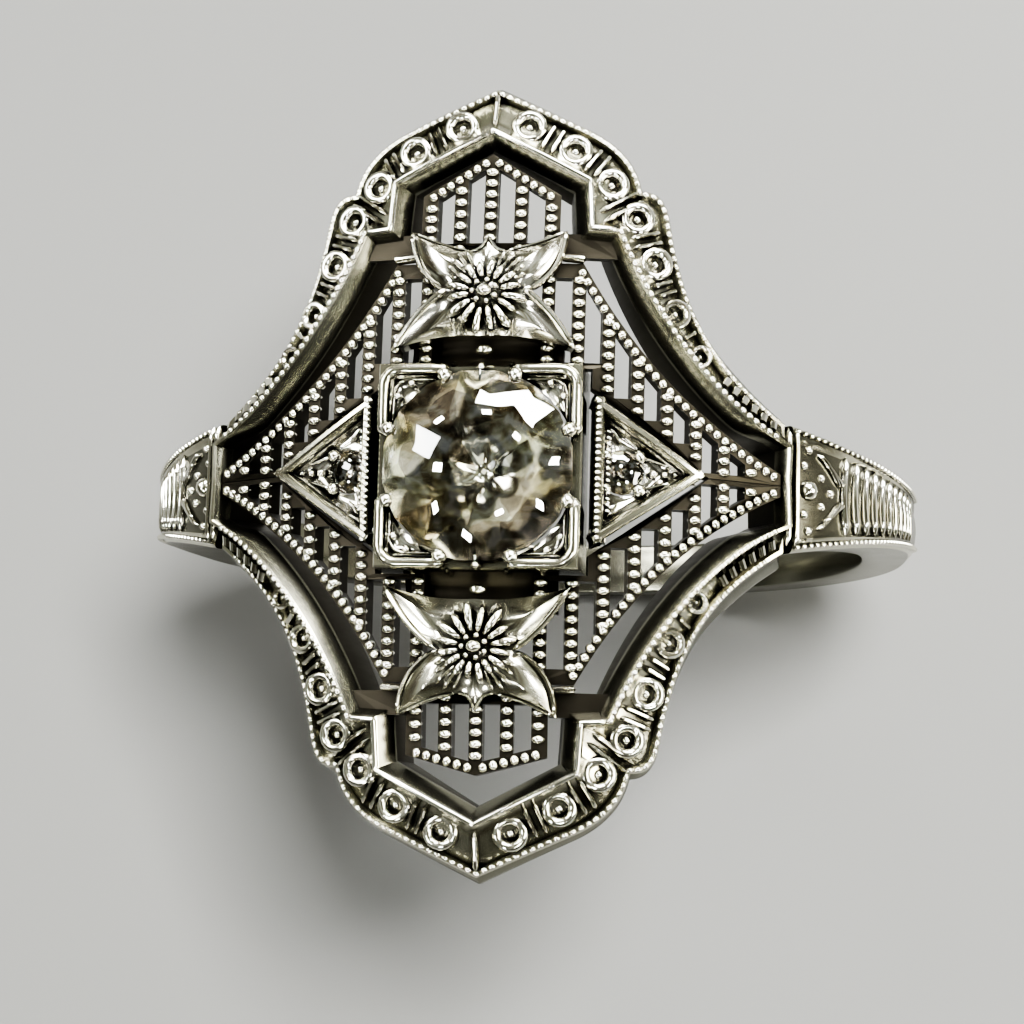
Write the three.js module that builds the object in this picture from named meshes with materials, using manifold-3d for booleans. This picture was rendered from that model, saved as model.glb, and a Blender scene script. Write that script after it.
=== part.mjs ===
// A pierced Art Deco filigree ring with a shield-shaped face, in millimetres.
// Origin: the centre of the finger bore. +Y runs along the finger, +Z goes up through the centre stone.
import * as THREE from "three";
import { mergeVertices } from "three/addons/utils/BufferGeometryUtils.js";
import Module from "manifold-3d";

const wasm = await Module();
wasm.setup();

// ---- Driving dimensions ----
const BORE_RADIUS = 9.0; // inside of the band, a US size 8 finger
const BAND_RADIUS = 10.45; // outside of the plain lower band
const FACE_TOP = 10.93; // height of the face above the bore centre
const FACE_RADIUS = 11.3; // bend of the face, east to west
const FACE_DROOP = 0.0128; // bend of the face, north to south, per mm
const FIT_GAP = 0.02; // clearance between pieces that are soldered together
const PAST = 1; // how far a cutter goes past what it cuts
const DEG = Math.PI / 180;

// Heights above the bent face surface
const BORDER_OUTER_TOP = 0.0;
const BORDER_INNER_TOP = 0.5;
const BORDER_BOTTOM = -1.15;
const PANEL_TOP = 0.3;
const PANEL_BOTTOM = -0.1;
const HEAD_TOP = 1.0;
const HEAD_BOTTOM = -0.95;

// The border's outline in the north-east quarter: east is u, north is v
const APEX_OUTER = [0, 10.0];
const SHOULDER_OUTER = [3.35, 8.35];
const NOTCH = [3.82, 7.38];
const LOBE = [4.42, 7.1];
const SIDE_OUTER = [[4.42, 7.1], [5.06, 4.41], [5.66, 2.95], [7.98, 1.72]];
const APEX_INNER = [0, 8.5];
const HEX_UPPER = [2.3, 7.27];
const HEX_LOWER = [2.38, 6.03];
const SIDE_INNER = [[3.08, 5.98], [3.78, 4.23], [5.33, 1.84], [7.6, 0.95]];
const FRAME_TIP = 7.98; // the face's east and west ends
const TIP_BAR_WIDTH = 0.42;

// The pierced panel: upright bars on an even grid
const BAR_PITCH = 0.738;
const BAR_WIDTH = 0.32;
const RAIL_WIDTH = 0.3;
const RAIL = [[2.3, 5.2], [3.2, 3.6], [4.6, 1.6], [7.5, 0.28]];
const GRILLE_HALF_WIDTH = 1.7;
const GRILLE_SHOULDER = 6.95;
const GRILLE_INNER = 5.4;
const NORTH_APEX = 8.02;
const SOUTH_APEX = 7.42;

// The head and its stone
const HEAD_HALF = 2.5;
const HEAD_WALL = 0.28;
const STONE_RADIUS = 2.36;
const GIRDLE_HEIGHT = 0.92;
const CROWN_HEIGHT = 0.7;
const TABLE_RADIUS = 1.25;
const PAVILION_DEPTH = 1.95;

// The side collets
const COLLET_BASE = 2.6;
const COLLET_TIP = 5.35;
const COLLET_HALF = 1.9;
const COLLET_RIM = 0.3;
const COLLET_TOP = 0.75;
const SIDE_STONE_U = 3.35;
const SIDE_STONE_RADIUS = 0.55;

// The flowers and their leaf plates
const FLOWER_V = 4.36;
const FLOWER_RADIUS = 1.15;
const PETALS = 16;

// ---- Shape helpers ----

// A point of the bent face: u east, v north, h above the face surface.
function onFace(u, v, h) {
  const angle = u / FACE_RADIUS;
  const radius = FACE_RADIUS + h;
  const drop = 0.5 * FACE_DROOP * v * v;
  return new THREE.Vector3(
    radius * Math.sin(angle),
    v,
    FACE_TOP - FACE_RADIUS + radius * Math.cos(angle) - drop,
  );
}

// Turns any closed geometry into an indexed one with its faces outward.
function closed(geometry) {
  const bare = geometry.index ? geometry.toNonIndexed() : geometry.clone();
  bare.deleteAttribute("normal");
  bare.deleteAttribute("uv");
  const merged = mergeVertices(bare, 1e-3);
  const index = merged.index.array;
  const at = merged.attributes.position;
  const [a, b, c] = [new THREE.Vector3(), new THREE.Vector3(), new THREE.Vector3()];
  let volume = 0;
  for (let i = 0; i < index.length; i += 3) {
    a.fromBufferAttribute(at, index[i]);
    b.fromBufferAttribute(at, index[i + 1]);
    c.fromBufferAttribute(at, index[i + 2]);
    volume += a.dot(b.cross(c));
  }
  if (volume < 0) {
    for (let i = 0; i < index.length; i += 3) {
      [index[i + 1], index[i + 2]] = [index[i + 2], index[i + 1]];
    }
  }
  return merged;
}

function toSolid(geometry) {
  const g = closed(geometry);
  return new wasm.Manifold(new wasm.Mesh({
    numProp: 3,
    vertProperties: new Float32Array(g.attributes.position.array),
    triVerts: new Uint32Array(g.index.array),
  }));
}

function fromSolid(solid) {
  const mesh = solid.getMesh();
  const g = new THREE.BufferGeometry();
  g.setAttribute("position", new THREE.BufferAttribute(new Float32Array(mesh.vertProperties), 3));
  g.setIndex(new THREE.BufferAttribute(new Uint32Array(mesh.triVerts), 1));
  return g;
}

// Joins sections of equal length into a skin: a ring if `loop`, or else with an end cap each way.
function loft(sections, loop = false) {
  const n = sections[0].length;
  const rows = sections.length;
  const corners = sections.flat();
  const index = [];
  const last = loop ? rows : rows - 1;
  for (let r = 0; r < last; r++) {
    const next = (r + 1) % rows;
    for (let i = 0; i < n; i++) {
      const j = (i + 1) % n;
      index.push(r * n + i, next * n + i, next * n + j);
      index.push(r * n + i, next * n + j, r * n + j);
    }
  }
  if (!loop) {
    for (let i = 1; i < n - 1; i++) {
      index.push(0, i, i + 1);
      index.push(last * n, last * n + i + 1, last * n + i);
    }
  }
  const g = new THREE.BufferGeometry().setFromPoints(corners);
  g.setIndex(index);
  return closed(g);
}

function prism(outline, low, high) {
  const shape = new THREE.Shape(outline.map(([u, v]) => new THREE.Vector2(u, v)));
  const g = new THREE.ExtrudeGeometry(shape, { depth: high - low, bevelEnabled: false });
  return toSolid(g.translate(0, 0, low));
}

// A flat outline with holes, made into a plate between two heights and bent onto the face.
function bentPlate(outline, holes, low, high) {
  let solid = prism(outline, low, high);
  for (const hole of holes) {
    solid = solid.subtract(prism(hole, low - PAST, high + PAST));
  }
  const g = fromSolid(solid);
  const at = g.attributes.position;
  for (let i = 0; i < at.count; i++) {
    const p = onFace(at.getX(i), at.getY(i), at.getZ(i));
    at.setXYZ(i, p.x, p.y, p.z);
  }
  return closed(g);
}

function bezier(points, steps) {
  const curve = new THREE.CubicBezierCurve(...points.map(([u, v]) => new THREE.Vector2(u, v)));
  return curve.getSpacedPoints(steps).map((p) => [p.x, p.y]);
}

function along(from, to, t) {
  return [from[0] + (to[0] - from[0]) * t, from[1] + (to[1] - from[1]) * t];
}

// The height v of a falling line of points at the given u.
function heightAt(line, u) {
  for (let i = 1; i < line.length; i++) {
    const [u0, v0] = line[i - 1];
    const [u1, v1] = line[i];
    if (u <= u1) return v0 + ((v1 - v0) * (u - u0)) / (u1 - u0);
  }
  return line[line.length - 1][1];
}

const mirrored = (points, east, north) => points.map(([u, v]) => [u * east, v * north]);

// ---- Materials ----
const whiteGold = new THREE.MeshStandardMaterial({ color: 0xd8d6c8, roughness: 0.22, metalness: 1 });
const cutGold = new THREE.MeshStandardMaterial({ color: 0xe6e4d8, roughness: 0.12, metalness: 1 });
const darkGold = new THREE.MeshStandardMaterial({ color: 0xa3a092, roughness: 0.38, metalness: 1 });
const diamond = new THREE.MeshStandardMaterial({ color: 0xeef0ec, roughness: 0.02, metalness: 0 });

const ring = new THREE.Group();
function piece(name, geometry, material) {
  const mesh = new THREE.Mesh(geometry, material);
  mesh.name = name;
  ring.add(mesh);
}

// ---- Band: the plain lower part and two tapered shoulders ----
const SHOULDER_START = (FRAME_TIP + FIT_GAP) / FACE_RADIUS; // angle where the shoulders meet the face
const SHOULDER_END = 98 * DEG;
const SHOULDER_RISE = 0.25; // height above the face surface where they meet
const SHOULDER_HALF_WIDTH = 1.62;
const BAND_HALF_WIDTH = 0.75;
const BAND_THIN = 0.15; // the band is this much thinner at the bottom
const BAND_BEVEL = 0.2; // height of the bevel on each outer edge of the band
const BAND_FLAT = 0.55; // width of the flat between the bevels, of the whole width
const FACE_CENTRE = FACE_TOP - FACE_RADIUS;
const SHOULDER_STEPS = 11;
const BAND_STEPS = 28;

// A section of the band in the upright plane at `angle`, turned about the height `centre`.
function bandSection(angle, centre, inner, outer, halfWidth) {
  const at = (radius, y) =>
    new THREE.Vector3(radius * Math.sin(angle), y, centre + radius * Math.cos(angle));
  return [
    at(inner, -halfWidth),
    at(outer - BAND_BEVEL, -halfWidth),
    at(outer, -halfWidth * BAND_FLAT),
    at(outer, halfWidth * BAND_FLAT),
    at(outer - BAND_BEVEL, halfWidth),
    at(inner, halfWidth),
  ];
}

const smooth = (t) => t * t * (3 - 2 * t);

// The distance from the point at height `centre` to the bore's wall, in the direction `angle`.
function boreReach(angle, centre) {
  const across = centre * Math.cos(angle);
  return -across + Math.sqrt(across * across - centre * centre + BORE_RADIUS * BORE_RADIUS);
}

const WIDTH_EASE = 2.4; // how soon a shoulder narrows: more is sooner
const BORE_EASE = 3; // how soon its inside meets the bore: more is sooner

function shoulder(side) {
  const { lerp } = THREE.MathUtils;
  const sections = [];
  for (let i = 0; i <= SHOULDER_STEPS; i++) {
    const t = i / SHOULDER_STEPS;
    const angle = lerp(SHOULDER_START, SHOULDER_END, t);
    const centre = lerp(FACE_CENTRE, 0, smooth(t));
    const bore = boreReach(angle, centre);
    const inner = lerp(FACE_RADIUS + BORDER_BOTTOM, bore, smooth(Math.min(1, t * BORE_EASE)));
    const outer = lerp(FACE_RADIUS + SHOULDER_RISE, BAND_RADIUS, smooth(t));
    const width = lerp(SHOULDER_HALF_WIDTH, BAND_HALF_WIDTH, 1 - (1 - t) ** WIDTH_EASE);
    sections.push(bandSection(angle * side, centre, inner, outer, width));
  }
  return loft(sections);
}

function lowerBand() {
  const start = SHOULDER_END + FIT_GAP / BORE_RADIUS;
  const end = 2 * Math.PI - start;
  const sections = [];
  for (let i = 0; i <= BAND_STEPS; i++) {
    const t = i / BAND_STEPS;
    const outer = BAND_RADIUS - BAND_THIN * Math.sin(Math.PI * t);
    sections.push(bandSection(start + (end - start) * t, 0, BORE_RADIUS, outer, BAND_HALF_WIDTH));
  }
  return loft(sections);
}

piece("shank", lowerBand(), whiteGold);
piece("shoulder_east", shoulder(1), whiteGold);
piece("shoulder_west", shoulder(-1), whiteGold);

// ---- Border frame: a closed band whose top slopes down to its outer edge ----
const SIDE_STEPS = 9;
const NOTCH_SHARE = 0.55; // how far down the hexagon's side the notch's inner point is
const LOBE_SHARE = 0.4; // how far along the first side step the lobe ends

// Matching outer and inner points of one quarter, from the north point to the east tip.
function borderQuarter() {
  const pairs = [
    [APEX_OUTER, APEX_INNER],
    [along(APEX_OUTER, SHOULDER_OUTER, 0.5), along(APEX_INNER, HEX_UPPER, 0.5)],
    [SHOULDER_OUTER, HEX_UPPER],
    [NOTCH, along(HEX_UPPER, HEX_LOWER, NOTCH_SHARE)],
    [LOBE, HEX_LOWER],
  ];
  const outer = bezier(SIDE_OUTER, SIDE_STEPS);
  const inner = bezier(SIDE_INNER, SIDE_STEPS);
  for (let i = 0; i <= SIDE_STEPS; i++) {
    const o = i === 0 ? along(LOBE, outer[1], LOBE_SHARE) : outer[i];
    pairs.push([o, inner[i]]);
  }
  pairs.push([[FRAME_TIP, 0], [FRAME_TIP - TIP_BAR_WIDTH, 0]]);
  return pairs;
}

function borderLoop() {
  const quarter = borderQuarter();
  const flip = (pairs, east, north) => pairs.map((pair) => mirrored(pair, east, north));
  const back = [...quarter].reverse();
  const middle = (list) => list.slice(1);
  return [
    ...quarter,
    ...middle(flip(back, 1, -1)),
    ...middle(flip(quarter, -1, -1)),
    ...middle(flip(back, -1, 1)).slice(0, -1),
  ];
}

function borderFrame() {
  const sections = borderLoop().map(([outer, inner]) => [
    onFace(...outer, BORDER_BOTTOM),
    onFace(...outer, BORDER_OUTER_TOP),
    onFace(...inner, BORDER_INNER_TOP),
    onFace(...inner, BORDER_BOTTOM),
  ]);
  return loft(sections, true);
}

piece("border_frame", borderFrame(), whiteGold);

// ---- Grilles: the pierced ends of the panel ----
function slot(left, right, low, highLeft, highRight) {
  return [[left, low], [right, low], [right, highRight], [left, highLeft]];
}

function grille(north, apex) {
  const outline = [
    [-GRILLE_HALF_WIDTH, GRILLE_INNER],
    [GRILLE_HALF_WIDTH, GRILLE_INNER],
    [GRILLE_HALF_WIDTH, GRILLE_SHOULDER],
    [0, apex],
    [-GRILLE_HALF_WIDTH, GRILLE_SHOULDER],
  ];
  const slope = (apex - GRILLE_SHOULDER) / GRILLE_HALF_WIDTH;
  const top = (u) => apex - slope * Math.abs(u) - RAIL_WIDTH;
  const holes = [];
  for (let k = -2; k < 2; k++) {
    const left = k * BAR_PITCH + BAR_WIDTH / 2;
    const right = (k + 1) * BAR_PITCH - BAR_WIDTH / 2;
    const cut = slot(left, right, GRILLE_INNER + RAIL_WIDTH, top(left), top(right));
    holes.push(mirrored(cut, 1, north));
  }
  return bentPlate(mirrored(outline, 1, north), holes, PANEL_BOTTOM, PANEL_TOP);
}

piece("grille_north", grille(1, NORTH_APEX), cutGold);
piece("grille_south", grille(-1, SOUTH_APEX), cutGold);

// ---- Lattices: the pierced sides of the panel, one in each quarter ----
const LATTICE_LEFT = 2 * BAR_PITCH - BAR_WIDTH / 2;
const LATTICE_TOP = 5.2;
const LATTICE_END = 7.5;
const HEAD_CLEAR = HEAD_HALF + 0.05;
const COLLET_CLEAR = 0.16;
const FLOOR_RAIL = 0.14; // solid strip below each slot
const TOP_RAIL = 0.375; // solid strip above each slot
const LEAST_SLOT = 0.3; // a slot shorter than this is left out
const SHORT_SLOT_WIDTH = 0.2; // width of a slot whose far end the rail cuts off
const FIRST_SLOT = 2;
const FIRST_TIP_SLOT = 7; // from here on the slots end beside the middle line
const SLOT_END = 9;

// The lower edge of a lattice: over the head, down beside the collet's rim, then along the middle line.
function latticeFloor(u) {
  if (u < COLLET_BASE) return HEAD_CLEAR;
  const share = Math.min(1, (u - COLLET_BASE) / (COLLET_TIP - COLLET_BASE));
  return COLLET_HALF * (1 - share) + COLLET_CLEAR;
}

function latticeSlots(rail) {
  const slots = [];
  const upper = (u) => Math.min(heightAt(rail, u), LATTICE_TOP) - TOP_RAIL;
  for (let k = FIRST_SLOT; k < SLOT_END; k++) {
    const lower = (u) => FLOOR_RAIL + (k < FIRST_TIP_SLOT ? latticeFloor(u) : 0);
    const left = k * BAR_PITCH + BAR_WIDTH / 2;
    const right = (k + 1) * BAR_PITCH - BAR_WIDTH / 2;
    if (upper(left) - lower(left) < LEAST_SLOT) continue;
    const end = upper(right) - lower(right) < SHORT_SLOT_WIDTH ? left + SHORT_SLOT_WIDTH : right;
    const low = Math.max(lower(left), lower(end));
    slots.push([[left, low], [end, low], [end, upper(end)], [left, upper(left)]]);
  }
  return slots;
}

function lattice(east, north) {
  const rail = bezier(RAIL, 14);
  const outline = [
    [LATTICE_LEFT, HEAD_CLEAR],
    [COLLET_BASE - FIT_GAP, HEAD_CLEAR],
    [COLLET_BASE - FIT_GAP, COLLET_HALF + COLLET_CLEAR],
    [COLLET_TIP + COLLET_CLEAR, FIT_GAP / 2],
    [LATTICE_END, FIT_GAP / 2],
    ...[...rail].reverse(),
    [LATTICE_LEFT, LATTICE_TOP],
  ];
  const holes = latticeSlots(rail).map((hole) => mirrored(hole, east, north));
  return bentPlate(mirrored(outline, east, north), holes, PANEL_BOTTOM, PANEL_TOP);
}

const QUARTERS = [["ne", 1, 1], ["nw", -1, 1], ["se", 1, -1], ["sw", -1, -1]];
for (const [name, east, north] of QUARTERS) {
  piece(`lattice_${name}`, lattice(east, north), cutGold);
}

// ---- Bridges: the four tabs that carry the panel's corners from the border ----
const BRIDGE_GAP = 0.05; // clearance from the border
const BRIDGE_LENGTH = 0.6;
const BRIDGE_SINK = 0.1; // its top is this far below the panel's

for (const [name, east, north] of QUARTERS) {
  const inner = GRILLE_HALF_WIDTH + FIT_GAP;
  const [stepU, stepV] = SIDE_INNER[0];
  const outline = [
    [inner, HEX_LOWER[1] - BRIDGE_GAP - BRIDGE_LENGTH],
    [inner, HEX_LOWER[1] - BRIDGE_GAP],
    [HEX_LOWER[0] - BRIDGE_GAP, HEX_LOWER[1] - BRIDGE_GAP],
    [stepU - 2 * BRIDGE_GAP, stepV - 2 * BRIDGE_GAP],
    [stepU + BRIDGE_GAP, stepV - BRIDGE_LENGTH],
  ];
  const plate = bentPlate(mirrored(outline, east, north), [], PANEL_BOTTOM, PANEL_TOP - BRIDGE_SINK);
  piece(`bridge_${name}`, plate, darkGold);
}

// ---- Head: a square box that holds the centre stone ----
function upright(outline, low, high) {
  return prism(outline, FACE_TOP + low, FACE_TOP + high);
}

const squareOf = (half) => [[-half, -half], [half, -half], [half, half], [-half, half]];
const RIM_DIP = 0.32; // how far the box's walls dip between its corners
const DIP_HALF = 0.85;

let box = upright(squareOf(HEAD_HALF), HEAD_BOTTOM, HEAD_TOP)
  .subtract(upright(squareOf(HEAD_HALF - HEAD_WALL), HEAD_BOTTOM - PAST, HEAD_TOP + PAST));
for (const [halfU, halfV] of [[HEAD_HALF + PAST, DIP_HALF], [DIP_HALF, HEAD_HALF + PAST]]) {
  const dip = [[-halfU, -halfV], [halfU, -halfV], [halfU, halfV], [-halfU, halfV]];
  box = box.subtract(upright(dip, HEAD_TOP - RIM_DIP, HEAD_TOP + PAST));
}
piece("head_box", fromSolid(box), whiteGold);

// A turned shape: the profile's points are [radius, height above the face].
function turned(profile, sides, u = 0, v = 0, base = FACE_TOP) {
  const points = profile.map(([radius, height]) => new THREE.Vector2(radius, height));
  const g = new THREE.LatheGeometry(points, sides);
  g.rotateX(Math.PI / 2);
  return closed(g.translate(u, v, base));
}

const CULET = 0.07; // of the stone's radius
const GIRDLE_EDGE = 0.035; // half the girdle's thickness, of the stone's radius

// The old-cut brilliant: small table, high crown, deep pavilion and a cut-off culet.
function brilliant(radius, table, crown, pavilion, girdle) {
  const edge = GIRDLE_EDGE * radius;
  return [
    [0, girdle - pavilion],
    [radius * CULET, girdle - pavilion],
    [radius, girdle - edge],
    [radius, girdle + edge],
    [table, girdle + crown],
    [0, girdle + crown],
  ];
}

const SEAT_SIDES = 24;
const SEAT_GAP = 0.05;
const SEAT_LOW = 0.0;
const SEAT_HIGH = GIRDLE_HEIGHT - 0.4;

// The stone's radius below the girdle, with the seat's clearance.
function seatInner(height) {
  const rise = (height - (GIRDLE_HEIGHT - PAVILION_DEPTH)) / (PAVILION_DEPTH - GIRDLE_EDGE * STONE_RADIUS);
  return STONE_RADIUS * (CULET + (1 - CULET) * rise) + SEAT_GAP;
}

piece("stone_seat", turned([
  [seatInner(SEAT_LOW), SEAT_LOW],
  [HEAD_HALF - HEAD_WALL - FIT_GAP, SEAT_LOW],
  [HEAD_HALF - HEAD_WALL - FIT_GAP, SEAT_HIGH],
  [seatInner(SEAT_HIGH), SEAT_HIGH],
  [seatInner(SEAT_LOW), SEAT_LOW],
], SEAT_SIDES), darkGold);

piece("center_diamond", turned(
  brilliant(STONE_RADIUS, TABLE_RADIUS, CROWN_HEIGHT, PAVILION_DEPTH, GIRDLE_HEIGHT),
  SEAT_SIDES,
), diamond);

// ---- Corner plates: each closes one corner of the head and is raised into a bead over the stone ----
const CORNER_BOTTOM = 0.75;
const CORNER_TOP = 0.98;
const CORNER_REACH = 1.15; // where the plate's two ends are, from the middle of a side
const CORNER_INSIDE = HEAD_HALF - HEAD_WALL - FIT_GAP;
const STONE_CLEAR = STONE_RADIUS + 0.04;
const BEAD_RADIUS = 0.2;
const BEAD_AWAY = 0.07; // how far the bead's middle is outside the stone's edge
const BEAD_LIFT = 0.05; // its clearance above the girdle
const BEAD_SIDES = 10;
const BEAD_RINGS = 6;

function cornerPlate(east, north) {
  const outline = [
    [CORNER_REACH, CORNER_INSIDE],
    [CORNER_INSIDE, CORNER_REACH],
    [CORNER_INSIDE, CORNER_INSIDE],
  ];
  const disc = turned([
    [0, CORNER_BOTTOM - PAST],
    [STONE_CLEAR, CORNER_BOTTOM - PAST],
    [STONE_CLEAR, CORNER_TOP + PAST],
    [0, CORNER_TOP + PAST],
  ], SEAT_SIDES * 2);
  const at = (STONE_RADIUS + BEAD_AWAY) / Math.SQRT2;
  const bead = new THREE.SphereGeometry(BEAD_RADIUS, BEAD_SIDES, BEAD_RINGS);
  bead.translate(at * east, at * north, FACE_TOP + GIRDLE_HEIGHT + BEAD_RADIUS + BEAD_LIFT);
  const plate = upright(mirrored(outline, east, north), CORNER_BOTTOM, CORNER_TOP);
  return fromSolid(plate.subtract(toSolid(disc)).add(toSolid(bead)));
}

for (const [name, east, north] of QUARTERS) {
  piece(`corner_prong_${name}`, cornerPlate(east, north), cutGold);
}

// ---- Side collets: a triangular rim, a bright-cut plate and a small stone in each ----
const TIP_INSET = 3.1; // an inset moves the tip in this many times as far as the base
const HALF_INSET = 1.9; // and the base's ends this many times
const COLLET_EASE = 0.03;
const PLATE_SINK = 0.1; // the plate is this much thinner than the panel
const SIDE_STONE_SIDES = 16;
const SIDE_STONE_CLEAR = 0.06;
const SIDE_TABLE = 0.3;
const SIDE_CROWN = 0.16;
const SIDE_PAVILION = 0.42;
const SIDE_GIRDLE = 0.3; // height above the face surface

function colletOutline(inset) {
  const base = COLLET_BASE + inset;
  const tip = COLLET_TIP - inset * TIP_INSET;
  const half = COLLET_HALF - inset * HALF_INSET;
  return [[base, -half], [tip, 0], [base, half]];
}

function stoneHole() {
  const hole = [];
  const radius = SIDE_STONE_RADIUS + SIDE_STONE_CLEAR;
  for (let i = 0; i < SIDE_STONE_SIDES; i++) {
    const angle = (i / SIDE_STONE_SIDES) * 2 * Math.PI;
    hole.push([SIDE_STONE_U + radius * Math.cos(angle), radius * Math.sin(angle)]);
  }
  return hole;
}

for (const [name, east] of [["east", 1], ["west", -1]]) {
  const turnedTo = (outline) => mirrored(outline, east, 1);
  const rim = bentPlate(
    turnedTo(colletOutline(COLLET_EASE)),
    [turnedTo(colletOutline(COLLET_RIM))],
    PANEL_BOTTOM,
    COLLET_TOP,
  );
  piece(`collet_${name}`, rim, whiteGold);
  const plate = bentPlate(
    turnedTo(colletOutline(COLLET_RIM + FIT_GAP)),
    [turnedTo(stoneHole())],
    PANEL_BOTTOM + PLATE_SINK,
    PANEL_TOP,
  );
  piece(`collet_plate_${name}`, plate, cutGold);
  const profile = brilliant(SIDE_STONE_RADIUS, SIDE_TABLE, SIDE_CROWN, SIDE_PAVILION, SIDE_GIRDLE);
  const stone = turned(profile, SIDE_STONE_SIDES, 0, 0, 0);
  const centre = onFace(SIDE_STONE_U * east, 0, 0);
  stone.rotateY((SIDE_STONE_U * east) / FACE_RADIUS);
  stone.translate(centre.x, centre.y, centre.z);
  piece(`side_diamond_${name}`, stone, diamond);
}

// ---- Flowers: a leaf plate, a daisy on it and the daisy's centre ----
const LEAF_BOTTOM = PANEL_TOP + FIT_GAP;
const LEAF_TOP = 0.62;
const FLOWER_TOP = 0.9;
const PETAL_NOTCH = 0.14; // depth of the notches between petals, of the flower's radius
const PETAL_POINTS = 4;
const HEART = [[0, 0], [0.26, 0], [0.22, 0.14], [0.1, 0.22], [0, 0.24]];
const HEART_SIDES = 12;

// The right half of a leaf plate, from the head outward: wing, waist, leaf and cusp.
const LEAF_HALF = [
  [0, 3.22], [1.0, 3.2], [2.14, 2.9], [1.72, 3.6], [0.9, 4.42],
  [1.52, 4.75], [1.82, 5.3], [1.88, 6.0], [1.1, 5.62], [0.46, 5.47], [0, 5.88],
];

function leafPlate(north) {
  const left = mirrored(LEAF_HALF, -1, 1).reverse().slice(1, -1);
  return bentPlate(mirrored([...LEAF_HALF, ...left], 1, north), [], LEAF_BOTTOM, LEAF_TOP);
}

function daisy(north) {
  const outline = [];
  const steps = PETALS * PETAL_POINTS;
  for (let i = 0; i < steps; i++) {
    const angle = (i / steps) * 2 * Math.PI;
    const bulge = Math.abs(Math.sin((angle * PETALS) / 2));
    const radius = FLOWER_RADIUS * (1 - PETAL_NOTCH * (1 - bulge));
    outline.push([radius * Math.cos(angle), north * FLOWER_V + radius * Math.sin(angle)]);
  }
  return bentPlate(outline, [], LEAF_TOP + FIT_GAP, FLOWER_TOP);
}

for (const [name, north] of [["north", 1], ["south", -1]]) {
  piece(`leaf_plate_${name}`, leafPlate(north), cutGold);
  piece(`flower_${name}`, daisy(north), cutGold);
  const base = onFace(0, FLOWER_V, FLOWER_TOP + FIT_GAP).z;
  piece(`flower_center_${name}`, turned(HEART, HEART_SIDES, 0, north * FLOWER_V, base), cutGold);
}

// ---- Corner caps: short bright strips where the lattices meet the bridges ----
const CAP_OUTLINE = [[1.84, 4.96], [2.42, 4.96], [2.34, 5.18], [1.84, 5.18]];
const CAP_TOP = 0.57;

for (const [name, east, north] of QUARTERS) {
  const cap = bentPlate(mirrored(CAP_OUTLINE, east, north), [], PANEL_TOP + FIT_GAP, CAP_TOP);
  piece(`corner_cap_${name}`, cap, cutGold);
}

export default ring;
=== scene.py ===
"""The looks of the pierced filigree ring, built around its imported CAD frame."""
from collections import namedtuple
import math

import bmesh
import bpy
from mathutils import Matrix, Vector


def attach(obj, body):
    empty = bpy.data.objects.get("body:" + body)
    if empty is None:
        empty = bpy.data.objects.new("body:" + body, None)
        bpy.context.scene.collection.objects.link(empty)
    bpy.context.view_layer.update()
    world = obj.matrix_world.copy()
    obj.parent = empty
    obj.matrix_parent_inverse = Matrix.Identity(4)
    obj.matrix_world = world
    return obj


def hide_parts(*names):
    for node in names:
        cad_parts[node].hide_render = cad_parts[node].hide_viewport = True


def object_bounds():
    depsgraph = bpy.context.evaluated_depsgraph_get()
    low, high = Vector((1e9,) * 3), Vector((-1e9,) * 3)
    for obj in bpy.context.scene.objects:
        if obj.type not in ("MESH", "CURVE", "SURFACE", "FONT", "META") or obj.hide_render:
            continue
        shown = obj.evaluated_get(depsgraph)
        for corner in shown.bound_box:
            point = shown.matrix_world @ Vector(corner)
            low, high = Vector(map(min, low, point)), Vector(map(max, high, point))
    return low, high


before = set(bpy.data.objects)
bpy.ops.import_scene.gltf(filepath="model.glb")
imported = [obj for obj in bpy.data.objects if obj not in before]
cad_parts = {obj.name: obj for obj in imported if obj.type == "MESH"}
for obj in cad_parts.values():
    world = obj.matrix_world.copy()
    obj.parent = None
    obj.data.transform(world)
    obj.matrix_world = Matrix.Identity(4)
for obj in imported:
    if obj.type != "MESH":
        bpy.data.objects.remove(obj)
cad_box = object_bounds()

MM = 0.001

# ---- The bent face, as the CAD has it, in millimetres ----
FACE_TOP = 10.93
FACE_RADIUS = 11.3
FACE_DROOP = 0.0128
BORDER_INNER_TOP = 0.5
BORDER_BOTTOM = -1.15
PANEL_TOP = 0.3
BORE_RADIUS = 9.0
BAND_RADIUS = 10.45

EAST, NORTH, UP = Vector((1, 0, 0)), Vector((0, 1, 0)), Vector((0, 0, 1))


# ---- Shares ----
def lerp(a, b, t):
    return a + (b - a) * t


def smooth(t):
    return t * t * (3 - 2 * t)


def share(value, low, high):
    """How far value is on the way from low to high, kept within 0 and 1."""
    return max(0.0, min(1.0, (value - low) / (high - low)))


def steps(count):
    """The shares from 0 to 1 in count equal steps."""
    return [i / count for i in range(count + 1)]


def on_face(u, v, h):
    """A point of the face: u east, v north, h above the face surface."""
    angle = u / FACE_RADIUS
    radius = FACE_RADIUS + h
    z = FACE_TOP - FACE_RADIUS + radius * math.cos(angle) - 0.5 * FACE_DROOP * v * v
    return Vector((radius * math.sin(angle), v, z))


def axes_at(u, v):
    """East, north and up at a point of the face."""
    angle = u / FACE_RADIUS
    east = Vector((math.cos(angle), 0, -math.sin(angle)))
    up = Vector((math.sin(angle), FACE_DROOP * v, math.cos(angle))).normalized()
    return east, up.cross(east), up


# ---- Materials ----
def new_material(name):
    material = bpy.data.materials.new(name)
    material.use_nodes = True
    return material, material.node_tree.nodes, material.node_tree.links


def object_place(nodes):
    return nodes.new("ShaderNodeTexCoord").outputs["Object"]


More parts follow.
